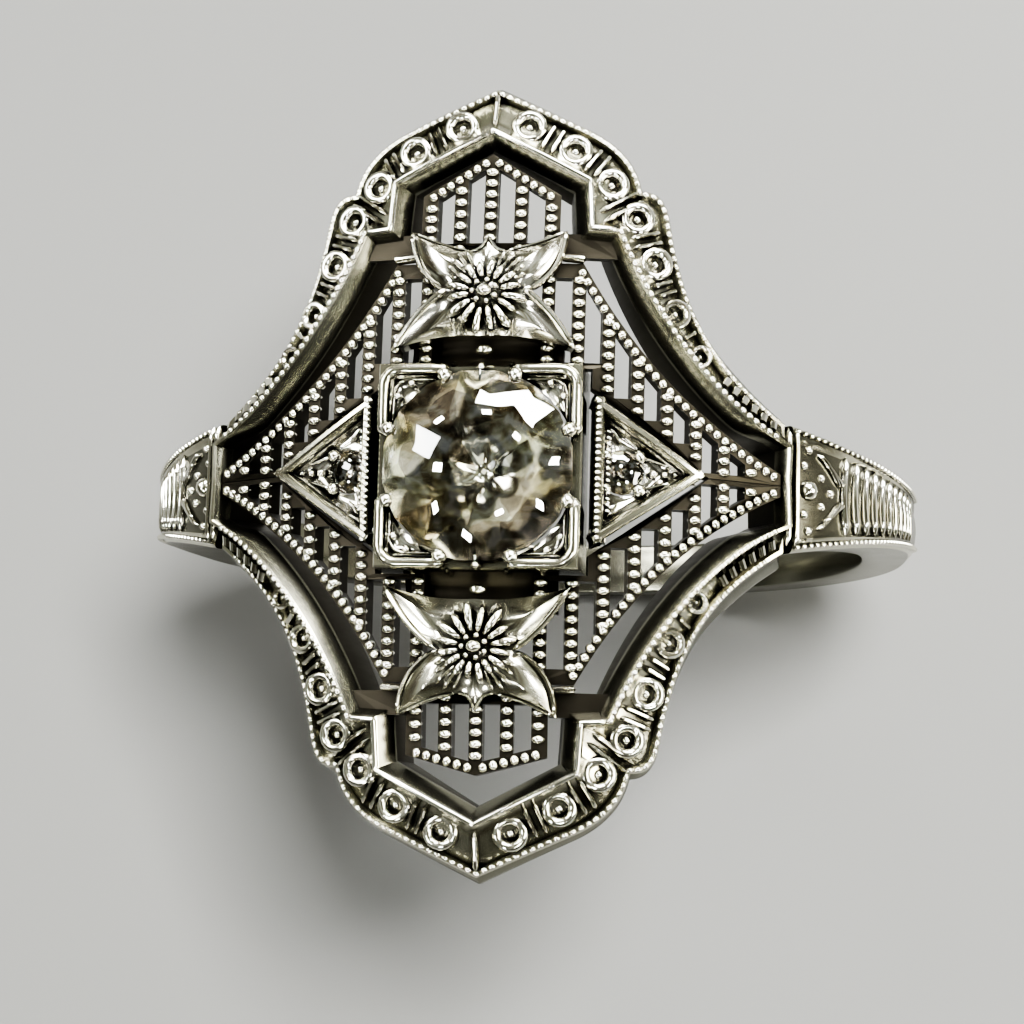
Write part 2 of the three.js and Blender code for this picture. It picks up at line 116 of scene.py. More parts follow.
def noise(nodes, links, place, scale, detail):
    texture = nodes.new("ShaderNodeTexNoise")
    texture.inputs["Scale"].default_value = scale
    texture.inputs["Detail"].default_value = detail
    links.new(place, texture.inputs["Vector"])
    return texture.outputs["Fac"]


def ranged(nodes, links, value, low, high, to_low, to_high):
    """A value taken from the range low to high into the range to_low to to_high."""
    node = nodes.new("ShaderNodeMapRange")
    node.inputs["From Min"].default_value = low
    node.inputs["From Max"].default_value = high
    node.inputs["To Min"].default_value = to_low
    node.inputs["To Max"].default_value = to_high
    links.new(value, node.inputs["Value"])
    return node.outputs["Result"]


def color_mix(nodes, links, factor, first, second):
    """Two colours mixed; each is a colour or another node's output."""
    node = nodes.new("ShaderNodeMix")
    node.data_type = "RGBA"
    links.new(factor, node.inputs["Factor"])
    for name, value in (("A", first), ("B", second)):
        if isinstance(value, tuple):
            node.inputs[name].default_value = (*value, 1)
        else:
            links.new(value, node.inputs[name])
    return node.outputs["Result"]


OPEN_SHARES = (0.35, 0.92)  # how open a spot is where it turns from full painted shade and tarnish to none
DRIFT_SCALE, DRIFT_DETAIL = 900, 4
DRIFT_TINT = (0.9, 0.89, 0.82)
POLISH_SCALE, POLISH_DETAIL = 1400, 4
POLISH_STRETCH = (1, 6, 1)  # polishing marks run round the band, so they change fastest along the finger
POLISH_DEPTH = 0.01
ROUGH_SHARES = (0.85, 1.25)


def gold(name, color, shade_and_tarnish, roughness, reach, marks=0.12):
    """White gold with painted shade in recesses within reach, standing also for tarnish there, with a little
    colour drift and polishing marks.
    """
    material, nodes, links = new_material(name)
    shader = nodes["Principled BSDF"]
    shader.inputs["Metallic"].default_value = 1.0
    place = object_place(nodes)

    # Painted shade, also standing for tarnish: the base colour darkens where ambient occlusion finds the
    # spot enclosed.
    hollow = nodes.new("ShaderNodeAmbientOcclusion")
    hollow.samples = 6
    hollow.inputs["Distance"].default_value = reach * MM
    unshaded_untarnished = ranged(nodes, links, hollow.outputs["AO"], *OPEN_SHARES, 0, 1)
    drift = noise(nodes, links, place, DRIFT_SCALE, DRIFT_DETAIL)
    tinted = tuple(c * t for c, t in zip(color, DRIFT_TINT))
    metal = color_mix(nodes, links, drift, color, tinted)
    links.new(color_mix(nodes, links, unshaded_untarnished, shade_and_tarnish, metal), shader.inputs["Base Color"])

    stretch = nodes.new("ShaderNodeMapping")
    stretch.inputs["Scale"].default_value = POLISH_STRETCH
    links.new(place, stretch.inputs["Vector"])
    polish = noise(nodes, links, stretch.outputs["Vector"], POLISH_SCALE, POLISH_DETAIL)
    low, high = (roughness * part for part in ROUGH_SHARES)
    links.new(ranged(nodes, links, polish, 0, 1, low, high), shader.inputs["Roughness"])
    bump = nodes.new("ShaderNodeBump")
    bump.inputs["Strength"].default_value = marks
    bump.inputs["Distance"].default_value = POLISH_DEPTH * MM
    links.new(polish, bump.inputs["Height"])
    links.new(bump.outputs["Normal"], shader.inputs["Normal"])
    return material


WHITE_GOLD = gold("white_gold", (0.74, 0.73, 0.62), (0.02, 0.019, 0.014), 0.18, 0.5)
# Painted shade: a darker copy of the white gold for walls, sides, the bore and the shoulders' sunk tops.
PAINTED_SHADE_GOLD = gold("painted_shade_gold", (0.22, 0.217, 0.178), (0.012, 0.011, 0.009), 0.22, 0.5)
FLOOR_GOLD = gold("engraved_floor", (0.68, 0.67, 0.56), (0.03, 0.028, 0.021), 0.2, 0.24)
BRIGHT_GOLD = gold("bright_cut_gold", (0.93, 0.92, 0.84), (0.03, 0.027, 0.02), 0.14, 0.22)
# Painted deep shade: a near-black copy of the white gold for undersides, inner walls, sunk plates and the
# pierced panel's bars.
PAINTED_DEEP_SHADE_GOLD = gold("oxidised_gold", (0.045, 0.041, 0.032), (0.006, 0.005, 0.004), 0.4, 0.6)


def color_ramp(nodes, stops):
    """A colour ramp with a stop at each (position, colour)."""
    ramp = nodes.new("ShaderNodeValToRGB")
    while len(ramp.color_ramp.elements) < len(stops):
        ramp.color_ramp.elements.new(0.5)
    for element, (position, color) in zip(ramp.color_ramp.elements, stops):
        element.position = position
        element.color = (*color, 1)
    return ramp


DIAMOND_INDEX = 2.417
HAZE_SCALE, HAZE_DETAIL, HAZE = 1500, 2, 0.02
CELL_SCALE = 1300


def gem(name):
    """Clear diamond with a trace of haze on its polish."""
    material, nodes, links = new_material(name)
    shader = nodes["Principled BSDF"]
    shader.inputs["Base Color"].default_value = (0.97, 0.98, 0.95, 1)
    shader.inputs["Transmission Weight"].default_value = 1.0
    shader.inputs["IOR"].default_value = DIAMOND_INDEX
    haze = noise(nodes, links, object_place(nodes), HAZE_SCALE, HAZE_DETAIL)
    links.new(ranged(nodes, links, haze, 0, 1, 0, HAZE), shader.inputs["Roughness"])
    return material


def gem_back(name):
    """The stone's lower facets: mirrors with painted reflections, a brightness for each facet and for each
    small cell in it.
    """
    material, nodes, links = new_material(name)
    shader = nodes["Principled BSDF"]
    shader.inputs["Metallic"].default_value = 1.0
    shader.inputs["Roughness"].default_value = 0.08
    facing = nodes.new("ShaderNodeNewGeometry")
    # Painted reflections: each facet, and each small cell in it, gets its own brightness.
    reflection_pick = nodes.new("ShaderNodeTexWhiteNoise")
    links.new(facing.outputs["True Normal"], reflection_pick.inputs["Vector"])
    facets = color_ramp(nodes, ((0.0, (0.4, 0.37, 0.32)), (0.3, (0.72, 0.65, 0.54)),
                                (0.6, (0.92, 0.93, 0.85)), (1.0, (1.0, 1.0, 0.97))))
    links.new(reflection_pick.outputs["Value"], facets.inputs["Fac"])

    cells = nodes.new("ShaderNodeTexVoronoi")
    cells.inputs["Scale"].default_value = CELL_SCALE
    links.new(object_place(nodes), cells.inputs["Vector"])
    cell_reflections = color_ramp(nodes, ((0.0, (0.42, 0.4, 0.4)), (0.35, (0.8, 0.8, 0.72)), (0.6, (1.0, 1.0, 0.98))))
    cell_reflections.color_ramp.interpolation = "CONSTANT"
    links.new(cells.outputs["Color"], cell_reflections.inputs["Fac"])
    both = nodes.new("ShaderNodeMix")
    both.data_type = "RGBA"
    both.blend_type = "MULTIPLY"
    both.inputs["Factor"].default_value = 1.0
    links.new(facets.outputs["Color"], both.inputs["A"])
    links.new(cell_reflections.outputs["Color"], both.inputs["B"])
    links.new(both.outputs["Result"], shader.inputs["Base Color"])
    return material


DIAMOND = gem("diamond")
DIAMOND_BACK = gem_back("diamond_back")


# ---- Mesh making ----
SHARP_ANGLE = math.radians(38)
DOME_REACH = math.radians(112)  # how far round from its top a bead goes, so that its foot sinks in
BAR_UNDERCUT = 0.06  # how far a half-round bar goes on past its middle, as a share of half a turn
THINNEST = 0.06  # a tapered bar's width at its ends, as a share of its full width


class Maker:
    """Collects points in millimetres and faces, and makes one object of them."""

    def __init__(self):
        self.points = []
        self.faces = []
        self.flat = []
        self.kinds = []

    def grid(self, rows, around=False, loop=False, caps=False, flat=False, second=(), third=()):
        """Skins rows of equal length. around closes each row, loop joins last row to first.
        second and third list the places in a row whose faces take those materials; a place in both
        takes the fourth."""
        start = len(self.points)
        n = len(rows[0])
        for row in rows:
            self.points.extend(row)
        count = len(rows)
        for r in range(count if loop else count - 1):
            s = (r + 1) % count
            for i in range(n if around else n - 1):
                j = (i + 1) % n
                corners = (r * n + i, r * n + j, s * n + j, s * n + i)
                self.face([start + c for c in corners], flat, int(i in second) + 2 * int(i in third))
        if caps:
            self.face([start + i for i in reversed(range(n))], True)
            self.face([start + (count - 1) * n + i for i in range(n)], True)

    def face(self, corners, flat=False, kind=0):
        """One face; kind is the place of its material among the piece's materials."""
        self.faces.append(corners)
        self.flat.append(flat)
        self.kinds.append(kind)

    def bead(self, u, v, h, ru, rv, rh, turn=0.0, sides=10, rings=4):
        """A dome that stands on the face: half-widths ru and rv, height rh."""
        east, north, up = axes_at(u, v)
        centre = on_face(u, v, h)
        self.dome(centre, east, north, up, ru, rv, rh, turn, sides, rings)

    def dome(self, centre, east, north, up, ru, rv, rh, turn=0.0, sides=10, rings=4):
        """A bead at centre, with its half-widths along east and north and its height along up."""
        start = len(self.points)
        self.points.append(centre + up * rh)
        cos_t, sin_t = math.cos(turn), math.sin(turn)
        for r in range(1, rings + 1):
            polar = DOME_REACH * r / rings
            for i in range(sides):
                a = 2 * math.pi * i / sides
                x = ru * math.sin(polar) * math.cos(a)
                y = rv * math.sin(polar) * math.sin(a)
                x, y = x * cos_t - y * sin_t, x * sin_t + y * cos_t
                self.points.append(centre + east * x + north * y + up * rh * math.cos(polar))
        for i in range(sides):
            self.face([start, start + 1 + i, start + 1 + (i + 1) % sides])
        for r in range(rings - 1):
            low = start + 1 + r * sides
            for i in range(sides):
                j = (i + 1) % sides
                self.face([low + i, low + sides + i, low + sides + j, low + j])
        last = start + 1 + (rings - 1) * sides
        self.face([last + i for i in reversed(range(sides))])

    def ridge(self, line, width, height, taper=0.0, sides=7, closed=False):
        """A half-round bar along (u, v, h) points of the face."""
        self.sweep([on_face(*p) for p in line], [axes_at(p[0], p[1])[2] for p in line],
                   width, height, taper, sides, closed)

    def sweep(self, spots, ups, width, height, taper=0.0, sides=7, closed=False):
        """A half-round bar; taper thins its ends by that share of its length."""
        rows = []
        count = len(spots)
        for k, spot in enumerate(spots):
            before = spots[(k - 1) % count] if closed or k > 0 else spot
            after = spots[(k + 1) % count] if closed or k < count - 1 else spot
            ahead = (after - before).normalized()
            side = ahead.cross(ups[k]).normalized()
            size = 1.0
            if taper and not closed:
                t = k / (count - 1)
                near = min(t, 1 - t) / taper
                size = math.sqrt(max(0.0, min(1.0, near * (2 - near)))) if near < 1 else 1.0
                size = max(size, THINNEST)
            row = []
            for i in range(sides + 1):
                a = math.pi * ((1 + 2 * BAR_UNDERCUT) * i / sides - BAR_UNDERCUT)
                offset = side * (width / 2 * size * math.cos(a))
                row.append(spot + offset + ups[k] * (height * size * math.sin(a)))
            rows.append(row)
        self.grid(rows, around=True, loop=closed, caps=not closed)

    def make(self, name, materials, slot, *nodes, smooth=True):
        """The object itself, riding on the ring, with the CAD nodes that it replaces hidden; slot is not
        used.
        """
        mesh = bpy.data.meshes.new(name)
        mesh.from_pydata([p * MM for p in self.points], [], self.faces)
        mesh.polygons.foreach_set("use_smooth", [smooth and not f for f in self.flat])
        for material in materials if isinstance(materials, tuple) else (materials,):
            mesh.materials.append(material)
        mesh.polygons.foreach_set("material_index", self.kinds)
        mesh.update()
        mesh.set_sharp_from_angle(angle=SHARP_ANGLE)
        piece = bpy.data.objects.new(name, mesh)
        bpy.context.scene.collection.objects.link(piece)
        outward(piece)
        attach(piece, "root")
        if nodes:
            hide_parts(*nodes)
        return piece


def outward(piece):
    """Turns every closed shell's faces outward."""
    work = bmesh.new()
    work.from_mesh(piece.data)
    bmesh.ops.recalc_face_normals(work, faces=work.faces)
    work.to_mesh(piece.data)
    work.free()


# ---- Plane curves ----
def mix(p, q, t):
    return tuple(lerp(a, b, t) for a, b in zip(p, q))


def straight(p, q):
    return lambda t: mix(p, q, t)


def bend(p, q, r):
    """A quadratic curve from p to r that leans towards q."""
    return lambda t: mix(mix(p, q, t), mix(q, r, t), t)


def cubic(p, q, r, s):
    return lambda t: mix(bend(p, q, r)(t), bend(q, r, s)(t), t)


def even(curve, count, samples=200):
    """count + 1 points spaced evenly along a curve."""
    fine = [curve(t) for t in steps(samples)]
    reach = [0.0]
    for a, b in zip(fine, fine[1:]):
        reach.append(reach[-1] + math.dist(a, b))
    points, k = [], 0
    for i in range(count + 1):
        goal = reach[-1] * i / count
        while k < samples - 1 and reach[k + 1] < goal:
            k += 1
        step = reach[k + 1] - reach[k]
        points.append(mix(fine[k], fine[k + 1], (goal - reach[k]) / step if step else 0))
    return points


def length_of(line):
    return sum(math.dist(a, b) for a, b in zip(line, line[1:]))


def spaced(line, pitch):
    """Points about pitch apart along a line of points, with the heading at each."""
    total = length_of(line)
    count = max(1, round(total / pitch))
    found, k, run = [], 0, 0.0
    for i in range(count):
        goal = total * (i + 0.5) / count
        while k < len(line) - 2 and run + math.dist(line[k], line[k + 1]) < goal:
            run += math.dist(line[k], line[k + 1])
            k += 1
        a, b = line[k], line[k + 1]
        step = math.dist(a, b)
        t = (goal - run) / step if step else 0
        heading = math.atan2(b[1] - a[1], b[0] - a[0])
        found.append((*mix(a, b, t)[:2], heading))
    return found


def moved(line, distance):
    """A closed line moved inward (positive, for a clockwise line) by distance, mitred."""
    count = len(line)
    result = []
    for i, here in enumerate(line):
        before, after = line[i - 1], line[(i + 1) % count]
        d1 = Vector((here[0] - before[0], here[1] - before[1])).normalized()
        d2 = Vector((after[0] - here[0], after[1] - here[1])).normalized()
        n1, n2 = Vector((d1.y, -d1.x)), Vector((d2.y, -d2.x))
        half = (n1 + n2).normalized()
        scale = distance / max(0.5, half.dot(n1))
        result.append((here[0] + half.x * scale, here[1] + half.y * scale))
    return result


QUARTERS = (("ne", 1, 1), ("nw", -1, 1), ("se", 1, -1), ("sw", -1, -1))

# ---- Border: outline of one quarter, outer and inner lines matched ----
APEX_OUTER = (0, 10.0)
CORNER_START = (2.55, 8.84)
CORNER_LEAN = (3.62, 8.3)
NOTCH = (3.84, 7.38)
LOBE_LEAN = (4.48, 7.36)
LOBE_END = (4.62, 6.5)
SIDE_LEANS = ((5.02, 4.35), (5.72, 2.95))
FRAME_TIP = 7.98
TIP_OUTER = (FRAME_TIP, 1.72)
APEX_INNER = (0, 8.5)
HEX_SPLIT = (1.75, 7.564)
HEX_UPPER = (2.3, 7.27)
HEX_MIDDLE = (2.345, 6.6)
HEX_LOWER = (2.38, 6.03)
STEP = (3.08, 5.98)
INNER_LEANS = ((3.78, 4.23), (5.33, 1.84))
TIP_INNER = (7.6, 0.95)
TIP_BAR = 0.42


def quarter_lines():
    corner = bend(CORNER_START, CORNER_LEAN, NOTCH)
    lobe = bend(NOTCH, LOBE_LEAN, LOBE_END)
    part = lambda curve, a, b: (lambda t: curve(lerp(a, b, t)))
    runs = [
        (straight(APEX_OUTER, CORNER_START), straight(APEX_INNER, HEX_SPLIT), 16),
        (part(corner, 0, 0.5), straight(HEX_SPLIT, HEX_UPPER), 6),
        (part(corner, 0.5, 1), straight(HEX_UPPER, HEX_MIDDLE), 6),
        (part(lobe, 0, 0.5), straight(HEX_MIDDLE, HEX_LOWER), 6),
        (part(lobe, 0.5, 1), straight(HEX_LOWER, STEP), 6),
        (cubic(LOBE_END, *SIDE_LEANS, TIP_OUTER), cubic(STEP, *INNER_LEANS, TIP_INNER), 40),
        (straight(TIP_OUTER, (FRAME_TIP, 0)), straight(TIP_INNER, (FRAME_TIP - TIP_BAR, 0)), 6),
    ]
    outer, inner = [], []
    for out_curve, in_curve, count in runs:
        outer += even(out_curve, count)[:-1]
        inner += even(in_curve, count)[:-1]
    outer.append((FRAME_TIP, 0))
    inner.append((FRAME_TIP - TIP_BAR, 0))
    return outer, inner


def all_round(quarter):
    """The whole closed line, clockwise from the north point, from its north-east quarter."""
    flip = lambda line, east, north: [(u * east, v * north) for u, v in line]
    back = quarter[::-1]
    return (quarter + flip(back, 1, -1)[1:] + flip(quarter, -1, -1)[1:]
            + flip(back, -1, 1)[1:-1])


outer_quarter, inner_quarter = quarter_lines()
outer_line, inner_line = all_round(outer_quarter), all_round(inner_quarter)

RIM = 0.13  # width of the raised rims
RIM_FOOT = 0.06  # width of the slope from a rim to the floor
FLARE = 0.15  # how far the outer wall leans out below its top edge
BEVEL = 0.3  # how far the inner wall leans in
BEVEL_DEPTH = 0.52
UNDERCUT = 0.3  # how far the underside draws in from the wall's foot
SKIRT = 0.38  # how far the wall spreads at its foot towards the shoulders
SKIRT_FROM, SKIRT_TO = 4.4, 6.8  # from where to where, eastward, the foot spreads
STEEP_FROM, STEEP_TO, STEEPEST = 6.9, 7.7, 0.8  # the bevel stands up towards the tips
FLOOR_SINK = 0.17


def border_row(i, edge, lines):
    """The border's section at one place of its outline, from the inner underside round to the bevel."""
    away, under, outer_edge, outer_rim, outer_floor, inner_floor, inner_rim, inner_bevel = (
        line[i] for line in lines)
    inner = inner_line[i]
    lean = SKIRT * smooth(share(abs(edge[0]), SKIRT_FROM, SKIRT_TO))
    foot = mix(edge, away, lean)
    steep = smooth(share(abs(edge[0]), STEEP_FROM, STEEP_TO))
    bevel = mix(inner_bevel, inner, STEEPEST * steep)
    section = [
        (bevel, BORDER_BOTTOM),
        (under, BORDER_BOTTOM),
        (mix(foot, under, 0.1), BORDER_BOTTOM + 0.08),
        (foot, BORDER_BOTTOM + 0.2),
        (mix(edge, foot, 0.75), -0.5 - 0.6 * lean),
        (mix(edge, outer_edge, 0.35), -0.42),
        (mix(edge, outer_edge, 0.85), -0.06),
        (mix(outer_edge, outer_rim, 0.2), 0.0),
        (mix(outer_edge, outer_rim, 0.85), 0.0),
        (outer_floor, -FLOOR_SINK),
        (mix(outer_floor, inner_floor, 0.35), 0.35 * BORDER_INNER_TOP - FLOOR_SINK),
        (mix(outer_floor, inner_floor, 0.7), 0.7 * BORDER_INNER_TOP - FLOOR_SINK),
        (inner_floor, BORDER_INNER_TOP - FLOOR_SINK),
        (mix(inner, inner_rim, 0.9), BORDER_INNER_TOP),
        (mix(inner, inner_rim, 0.35), BORDER_INNER_TOP + 0.01),
        (inner, BORDER_INNER_TOP - 0.05),
        (mix(inner, bevel, 0.85), BORDER_INNER_TOP - BEVEL_DEPTH + 0.1),
        (bevel, BORDER_INNER_TOP - BEVEL_DEPTH),
    ]
    return [on_face(*spot, height) for spot, height in section]


# The outer wall and the inner bevel take painted shade; the underside and the lower inner wall take painted
# deep shade.
PAINTED_SHADE_PLACES = (3, 4, 5, 15, 16)  # places in a border row, by the finish of the face after them
FLOOR_PLACES = (8, 9, 10, 11)
PAINTED_DEEP_SHADE_PLACES = (0, 17)


def border_body():
    lines = (
        moved(outer_line, -1), moved(outer_line, UNDERCUT), moved(outer_line, FLARE),
        moved(outer_line, FLARE + RIM), moved(outer_line, FLARE + RIM + RIM_FOOT),
        moved(inner_line, -RIM - RIM_FOOT), moved(inner_line, -RIM), moved(inner_line, BEVEL),
    )
    rows = [border_row(i, edge, lines) for i, edge in enumerate(outer_line)]
    make = Maker()
    make.grid(rows, around=True, loop=True, second=PAINTED_SHADE_PLACES + FLOOR_PLACES,
              third=PAINTED_DEEP_SHADE_PLACES + FLOOR_PLACES)
    finishes = (WHITE_GOLD, PAINTED_SHADE_GOLD, PAINTED_DEEP_SHADE_GOLD, FLOOR_GOLD)
    make.make("border_body", finishes, "white_gold", "border_frame")


border_body()

MILGRAIN = 0.095  # radius of the border's smallest beads
MILGRAIN_PITCH = 0.215
BARE_TIP = FRAME_TIP - 0.6  # no beads further east or west than this
HEXAGON_FOOT = 6.1  # where the pointed openings' straight sides start
ARCH_STEP = 0.1


def border_milgrain():
    """Worn beads along both edges; the pointed openings have a plain bright edge instead."""
    make = Maker()
    outer_path = moved(outer_line, FLARE + RIM * 0.5)
    inner_path = moved(inner_line, -RIM * 0.62)
    for path, height in ((outer_path, -0.03), (inner_path, BORDER_INNER_TOP - 0.01)):
        for u, v, heading in spaced(path + path[:1], MILGRAIN_PITCH):
            if abs(u) > BARE_TIP or (path is inner_path and abs(v) > HEXAGON_FOOT):
                continue
            make.bead(u, v, height, MILGRAIN, MILGRAIN * 0.8, MILGRAIN * 0.72, heading)
    for north in (1, -1):
        arch = sorted((p for p in inner_path if p[1] * north > HEXAGON_FOOT - ARCH_STEP), key=lambda p: p[0])
        gap = math.dist(arch[0], arch[-1])
        arch = closed_steps(arch, ARCH_STEP)[:-round(gap / ARCH_STEP)]
        make.ridge([(*p, BORDER_INNER_TOP - 0.03) for p in arch], 0.15, 0.1, taper=0.02)
    make.make("border_milgrain", BRIGHT_GOLD, "bright_cut_gold")


def closed_steps(line, step):
    """A closed line with extra points, so that its corners stay crisp."""
    points = []
    for a, b in zip(line, line[1:] + line[:1]):
        count = max(1, round(math.dist(a, b) / step))
        points += [mix(a, b, i / count) for i in range(count)]
    return points


def band_line():
    """The middle of the border's floor in the north-east quarter, with its half-width."""
    outer = moved(outer_line, FLARE + RIM + RIM_FOOT)
    inner = moved(inner_line, -RIM - RIM_FOOT)
    spots = []
    for i in range(len(outer_quarter)):
        o, n = outer[i], inner[i]
        middle = mix(o, n, 0.5)
        spots.append((*middle, math.dist(o, n) / 2))
    return spots


# The engraved row of one quarter, nearest the north point first: place and radius of each eyelet
EYELETS = ((0.84, 8.77, 0.33), (2.0, 8.15, 0.33), (2.93, 7.3, 0.33), (3.6, 6.46, 0.33), (4.08, 5.33, 0.33),
           (4.62, 4.08, 0.29), (5.28, 3.05, 0.22))
DOUBLE_BARS = 5  # how many pairs of bars come before the last, single one
BAR_APART = 0.13  # half the distance between the bars of a pair
LADDER_START, LADDER_END = 5.8, FRAME_TIP - 0.45
LADDER_PITCH = 0.33


def floor_height(u, v):
    """Height of the border's floor at a point between its two lines."""
    near_outer = min(math.dist((u, v), p) for p in outer_quarter)
    near_inner = min(math.dist((u, v), p) for p in inner_quarter)
    return BORDER_INNER_TOP * near_outer / (near_outer + near_inner) - FLOOR_SINK


def eyelet(make, u, v, height, radius):
    """A raised ring with a dot in it."""
    count = 22
    turns = [2 * math.pi * i / count for i in range(count)]
    line = [(u + radius * math.cos(a), v + radius * math.sin(a), height) for a in turns]
    make.ridge(line, radius * 0.78, 0.17, closed=True)
    make.bead(u, v, height - 0.04, radius * 0.34, radius * 0.34, 0.1)


def cross_bar(make, u, v, heading, half, height, width=0.16):
    """A bar across the band at right angles to its heading."""
    line = []
    for t in steps(6):
        offset = half * (2 * t - 1)
        x, y = u - math.sin(heading) * offset, v + math.cos(heading) * offset
        line.append((x, y, floor_height(abs(x), abs(y))))
    make.ridge(line, width, height, taper=0.12)


def nearest(spots, place):
    return min(range(len(spots)), key=lambda i: math.dist(spots[i][:2], place))


def heading_at(spots, k):
    a, b = spots[max(0, k - 2)], spots[min(len(spots) - 1, k + 2)]
    return math.atan2(b[1] - a[1], b[0] - a[0])


def quarter_pattern(make, spots, east, north):
    """Eyelets with bars between them, then a ladder of bars towards the tip."""
    def turned(heading):
        return math.atan2(north * math.sin(heading), east * math.cos(heading))

    for u, v, radius in EYELETS:
        eyelet(make, u * east, v * north, floor_height(u, v), radius)
    for i, (here, after) in enumerate(zip(EYELETS, EYELETS[1:])):
        k = nearest(spots, mix(here[:2], after[:2], 0.5))
        heading = heading_at(spots, k)
        for offset in (-BAR_APART, BAR_APART) if i < DOUBLE_BARS else (0.0,):
            x = spots[k][0] + offset * math.cos(heading)
            y = spots[k][1] + offset * math.sin(heading)
            cross_bar(make, x * east, y * north, turned(heading), spots[k][2] * 0.92, 0.19)
    ladder = [p[:2] for p in spots if LADDER_START < p[0] < LADDER_END]
    for u, v, heading in spaced(ladder, LADDER_PITCH):
        half = spots[nearest(spots, (u, v))][2] * 0.9
        cross_bar(make, u * east, v * north, turned(heading), half, 0.23, 0.24)


def border_pattern():
    make = Maker()
    spots = band_line()
    for _, east, north in QUARTERS:
        quarter_pattern(make, spots, east, north)
    low, high = APEX_INNER[1] + RIM + 0.1, APEX_OUTER[1] - RIM - 0.1
    for north in (1, -1):
        reaches = [lerp(low, high, t) for t in steps(6)]
        line = [(0, north * v, floor_height(0, v)) for v in reaches]
        make.ridge(line, 0.17, 0.17, taper=0.1)
    make.make("border_engraving", BRIGHT_GOLD, "bright_cut_gold")


border_milgrain()
border_pattern()


# ---- Tips: two fine upright bars between the opening and each shoulder ----
TIP_BAR_INSETS = (0.3, 0.06)
TIP_BAR_HALF = 1.5


def tip_bars():
    make = Maker()
    for east in (1, -1):
        for inset in TIP_BAR_INSETS:
            u = (FRAME_TIP - inset) * east
            line = [(u, lerp(-TIP_BAR_HALF, TIP_BAR_HALF, t), BORDER_INNER_TOP * 0.62) for t in steps(16)]
            make.ridge(line, 0.13, 0.16, taper=0.04)
    make.make("tip_bars", BRIGHT_GOLD, "bright_cut_gold")


tip_bars()


# ---- Pierced panel: beads along every bar and rail ----
BAR_PITCH = 0.738
BAR_BEAD = (0.185, 0.125, 0.16)  # half-widths across and along, and height
BAR_BEAD_PITCH = 0.29
RAIL_BEAD = (0.126, 0.14, 0.14)
RAIL_BEAD_PITCH = 0.265
BEAD_FOOT = PANEL_TOP - 0.03
RAIL = ((2.3, 5.2), (3.2, 3.6), (4.6, 1.6), (7.5, 0.28))
RAIL_INSET = (0.09, 0.12)
BAR_END = 0.28  # how far below the rail a bar's beads stop
GRILLE_HALF_WIDTH = 1.7
GRILLE_SHOULDER = 6.95
GRILLE_INNER = 5.4
GRILLE_APEX = {1: 8.02, -1: 7.42}
HEAD_HALF = 2.5
COLLET_BASE, COLLET_TIP, COLLET_HALF = 2.6, 5.35, 1.9


def bar_beads(make, start, end):
    """Flat-sided beads stacked along a bar."""
    for u, v, heading in spaced([start, end], BAR_BEAD_PITCH):
        make.bead(u, v, BEAD_FOOT, *BAR_BEAD, heading - math.pi / 2)


def rail_beads(make, line):
    for u, v, heading in spaced(line, RAIL_BEAD_PITCH):
        make.bead(u, v, BEAD_FOOT, *RAIL_BEAD, heading)


def grille_beads(name, north):
    make = Maker()
    apex = GRILLE_APEX[north]
    slope = (apex - GRILLE_SHOULDER) / GRILLE_HALF_WIDTH
    for k in range(-2, 3):
        u = k * BAR_PITCH
        top = apex - slope * abs(u) - 0.34
        bar_beads(make, (u, GRILLE_INNER * north), (u, top * north))
    for side in (1, -1):
        foot = ((GRILLE_HALF_WIDTH - 0.15) * side, (GRILLE_SHOULDER - 0.1) * north)
        rail_beads(make, [foot, (0.06 * side, (apex - 0.17) * north)])
    make.make(name, BRIGHT_GOLD, "bright_cut_gold")


grille_beads("grille_beads_north", 1)
grille_beads("grille_beads_south", -1)


def lattice_floor(u):
    """Where the lattice's bars start: at the head, at the collet's edge, or at the middle line."""
    if u < COLLET_BASE:
        return HEAD_HALF + 0.05
    if u < COLLET_TIP + 0.1:
        return COLLET_HALF * (1 - (u - COLLET_BASE) / (COLLET_TIP - COLLET_BASE)) + 0.2
    return 0.0


def lattice_beads(name, east, north):
    make = Maker()
    rail = even(cubic(*RAIL), 60)
    for k in range(2, 10):
        u = k * BAR_PITCH
        rail_here = min(rail, key=lambda p: abs(p[0] - u))[1]
        top = (RAIL[0][1] if k < 4 else rail_here) - BAR_END
        low = lattice_floor(u) + 0.05
        if top - low > 0.2:
            bar_beads(make, (u * east, low * north), (u * east, top * north))
    rail_beads(make, [((u - RAIL_INSET[0]) * east, (v - RAIL_INSET[1]) * north) for u, v in rail])
    make.make(name, BRIGHT_GOLD, "bright_cut_gold")


for corner, east, north in QUARTERS:
    lattice_beads(f"lattice_beads_{corner}", east, north)

# The CAD's pierced panel, its bridges and stone seats take painted deep shade.
for node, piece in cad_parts.items():
    if node.startswith(("grille", "lattice", "bridge", "stone_seat")):
        piece.data.materials.clear()
        piece.data.materials.append(PAINTED_DEEP_SHADE_GOLD)


# ---- Stones ----
Cut = namedtuple("Cut", "radius table crown pavilion girdle_half culet")


def ring_of(radius, height, count, turn=0.0):
    turns = [2 * math.pi * (i + turn) / count for i in range(count)]
    return [Vector((radius * math.cos(a), radius * math.sin(a), height)) for a in turns]


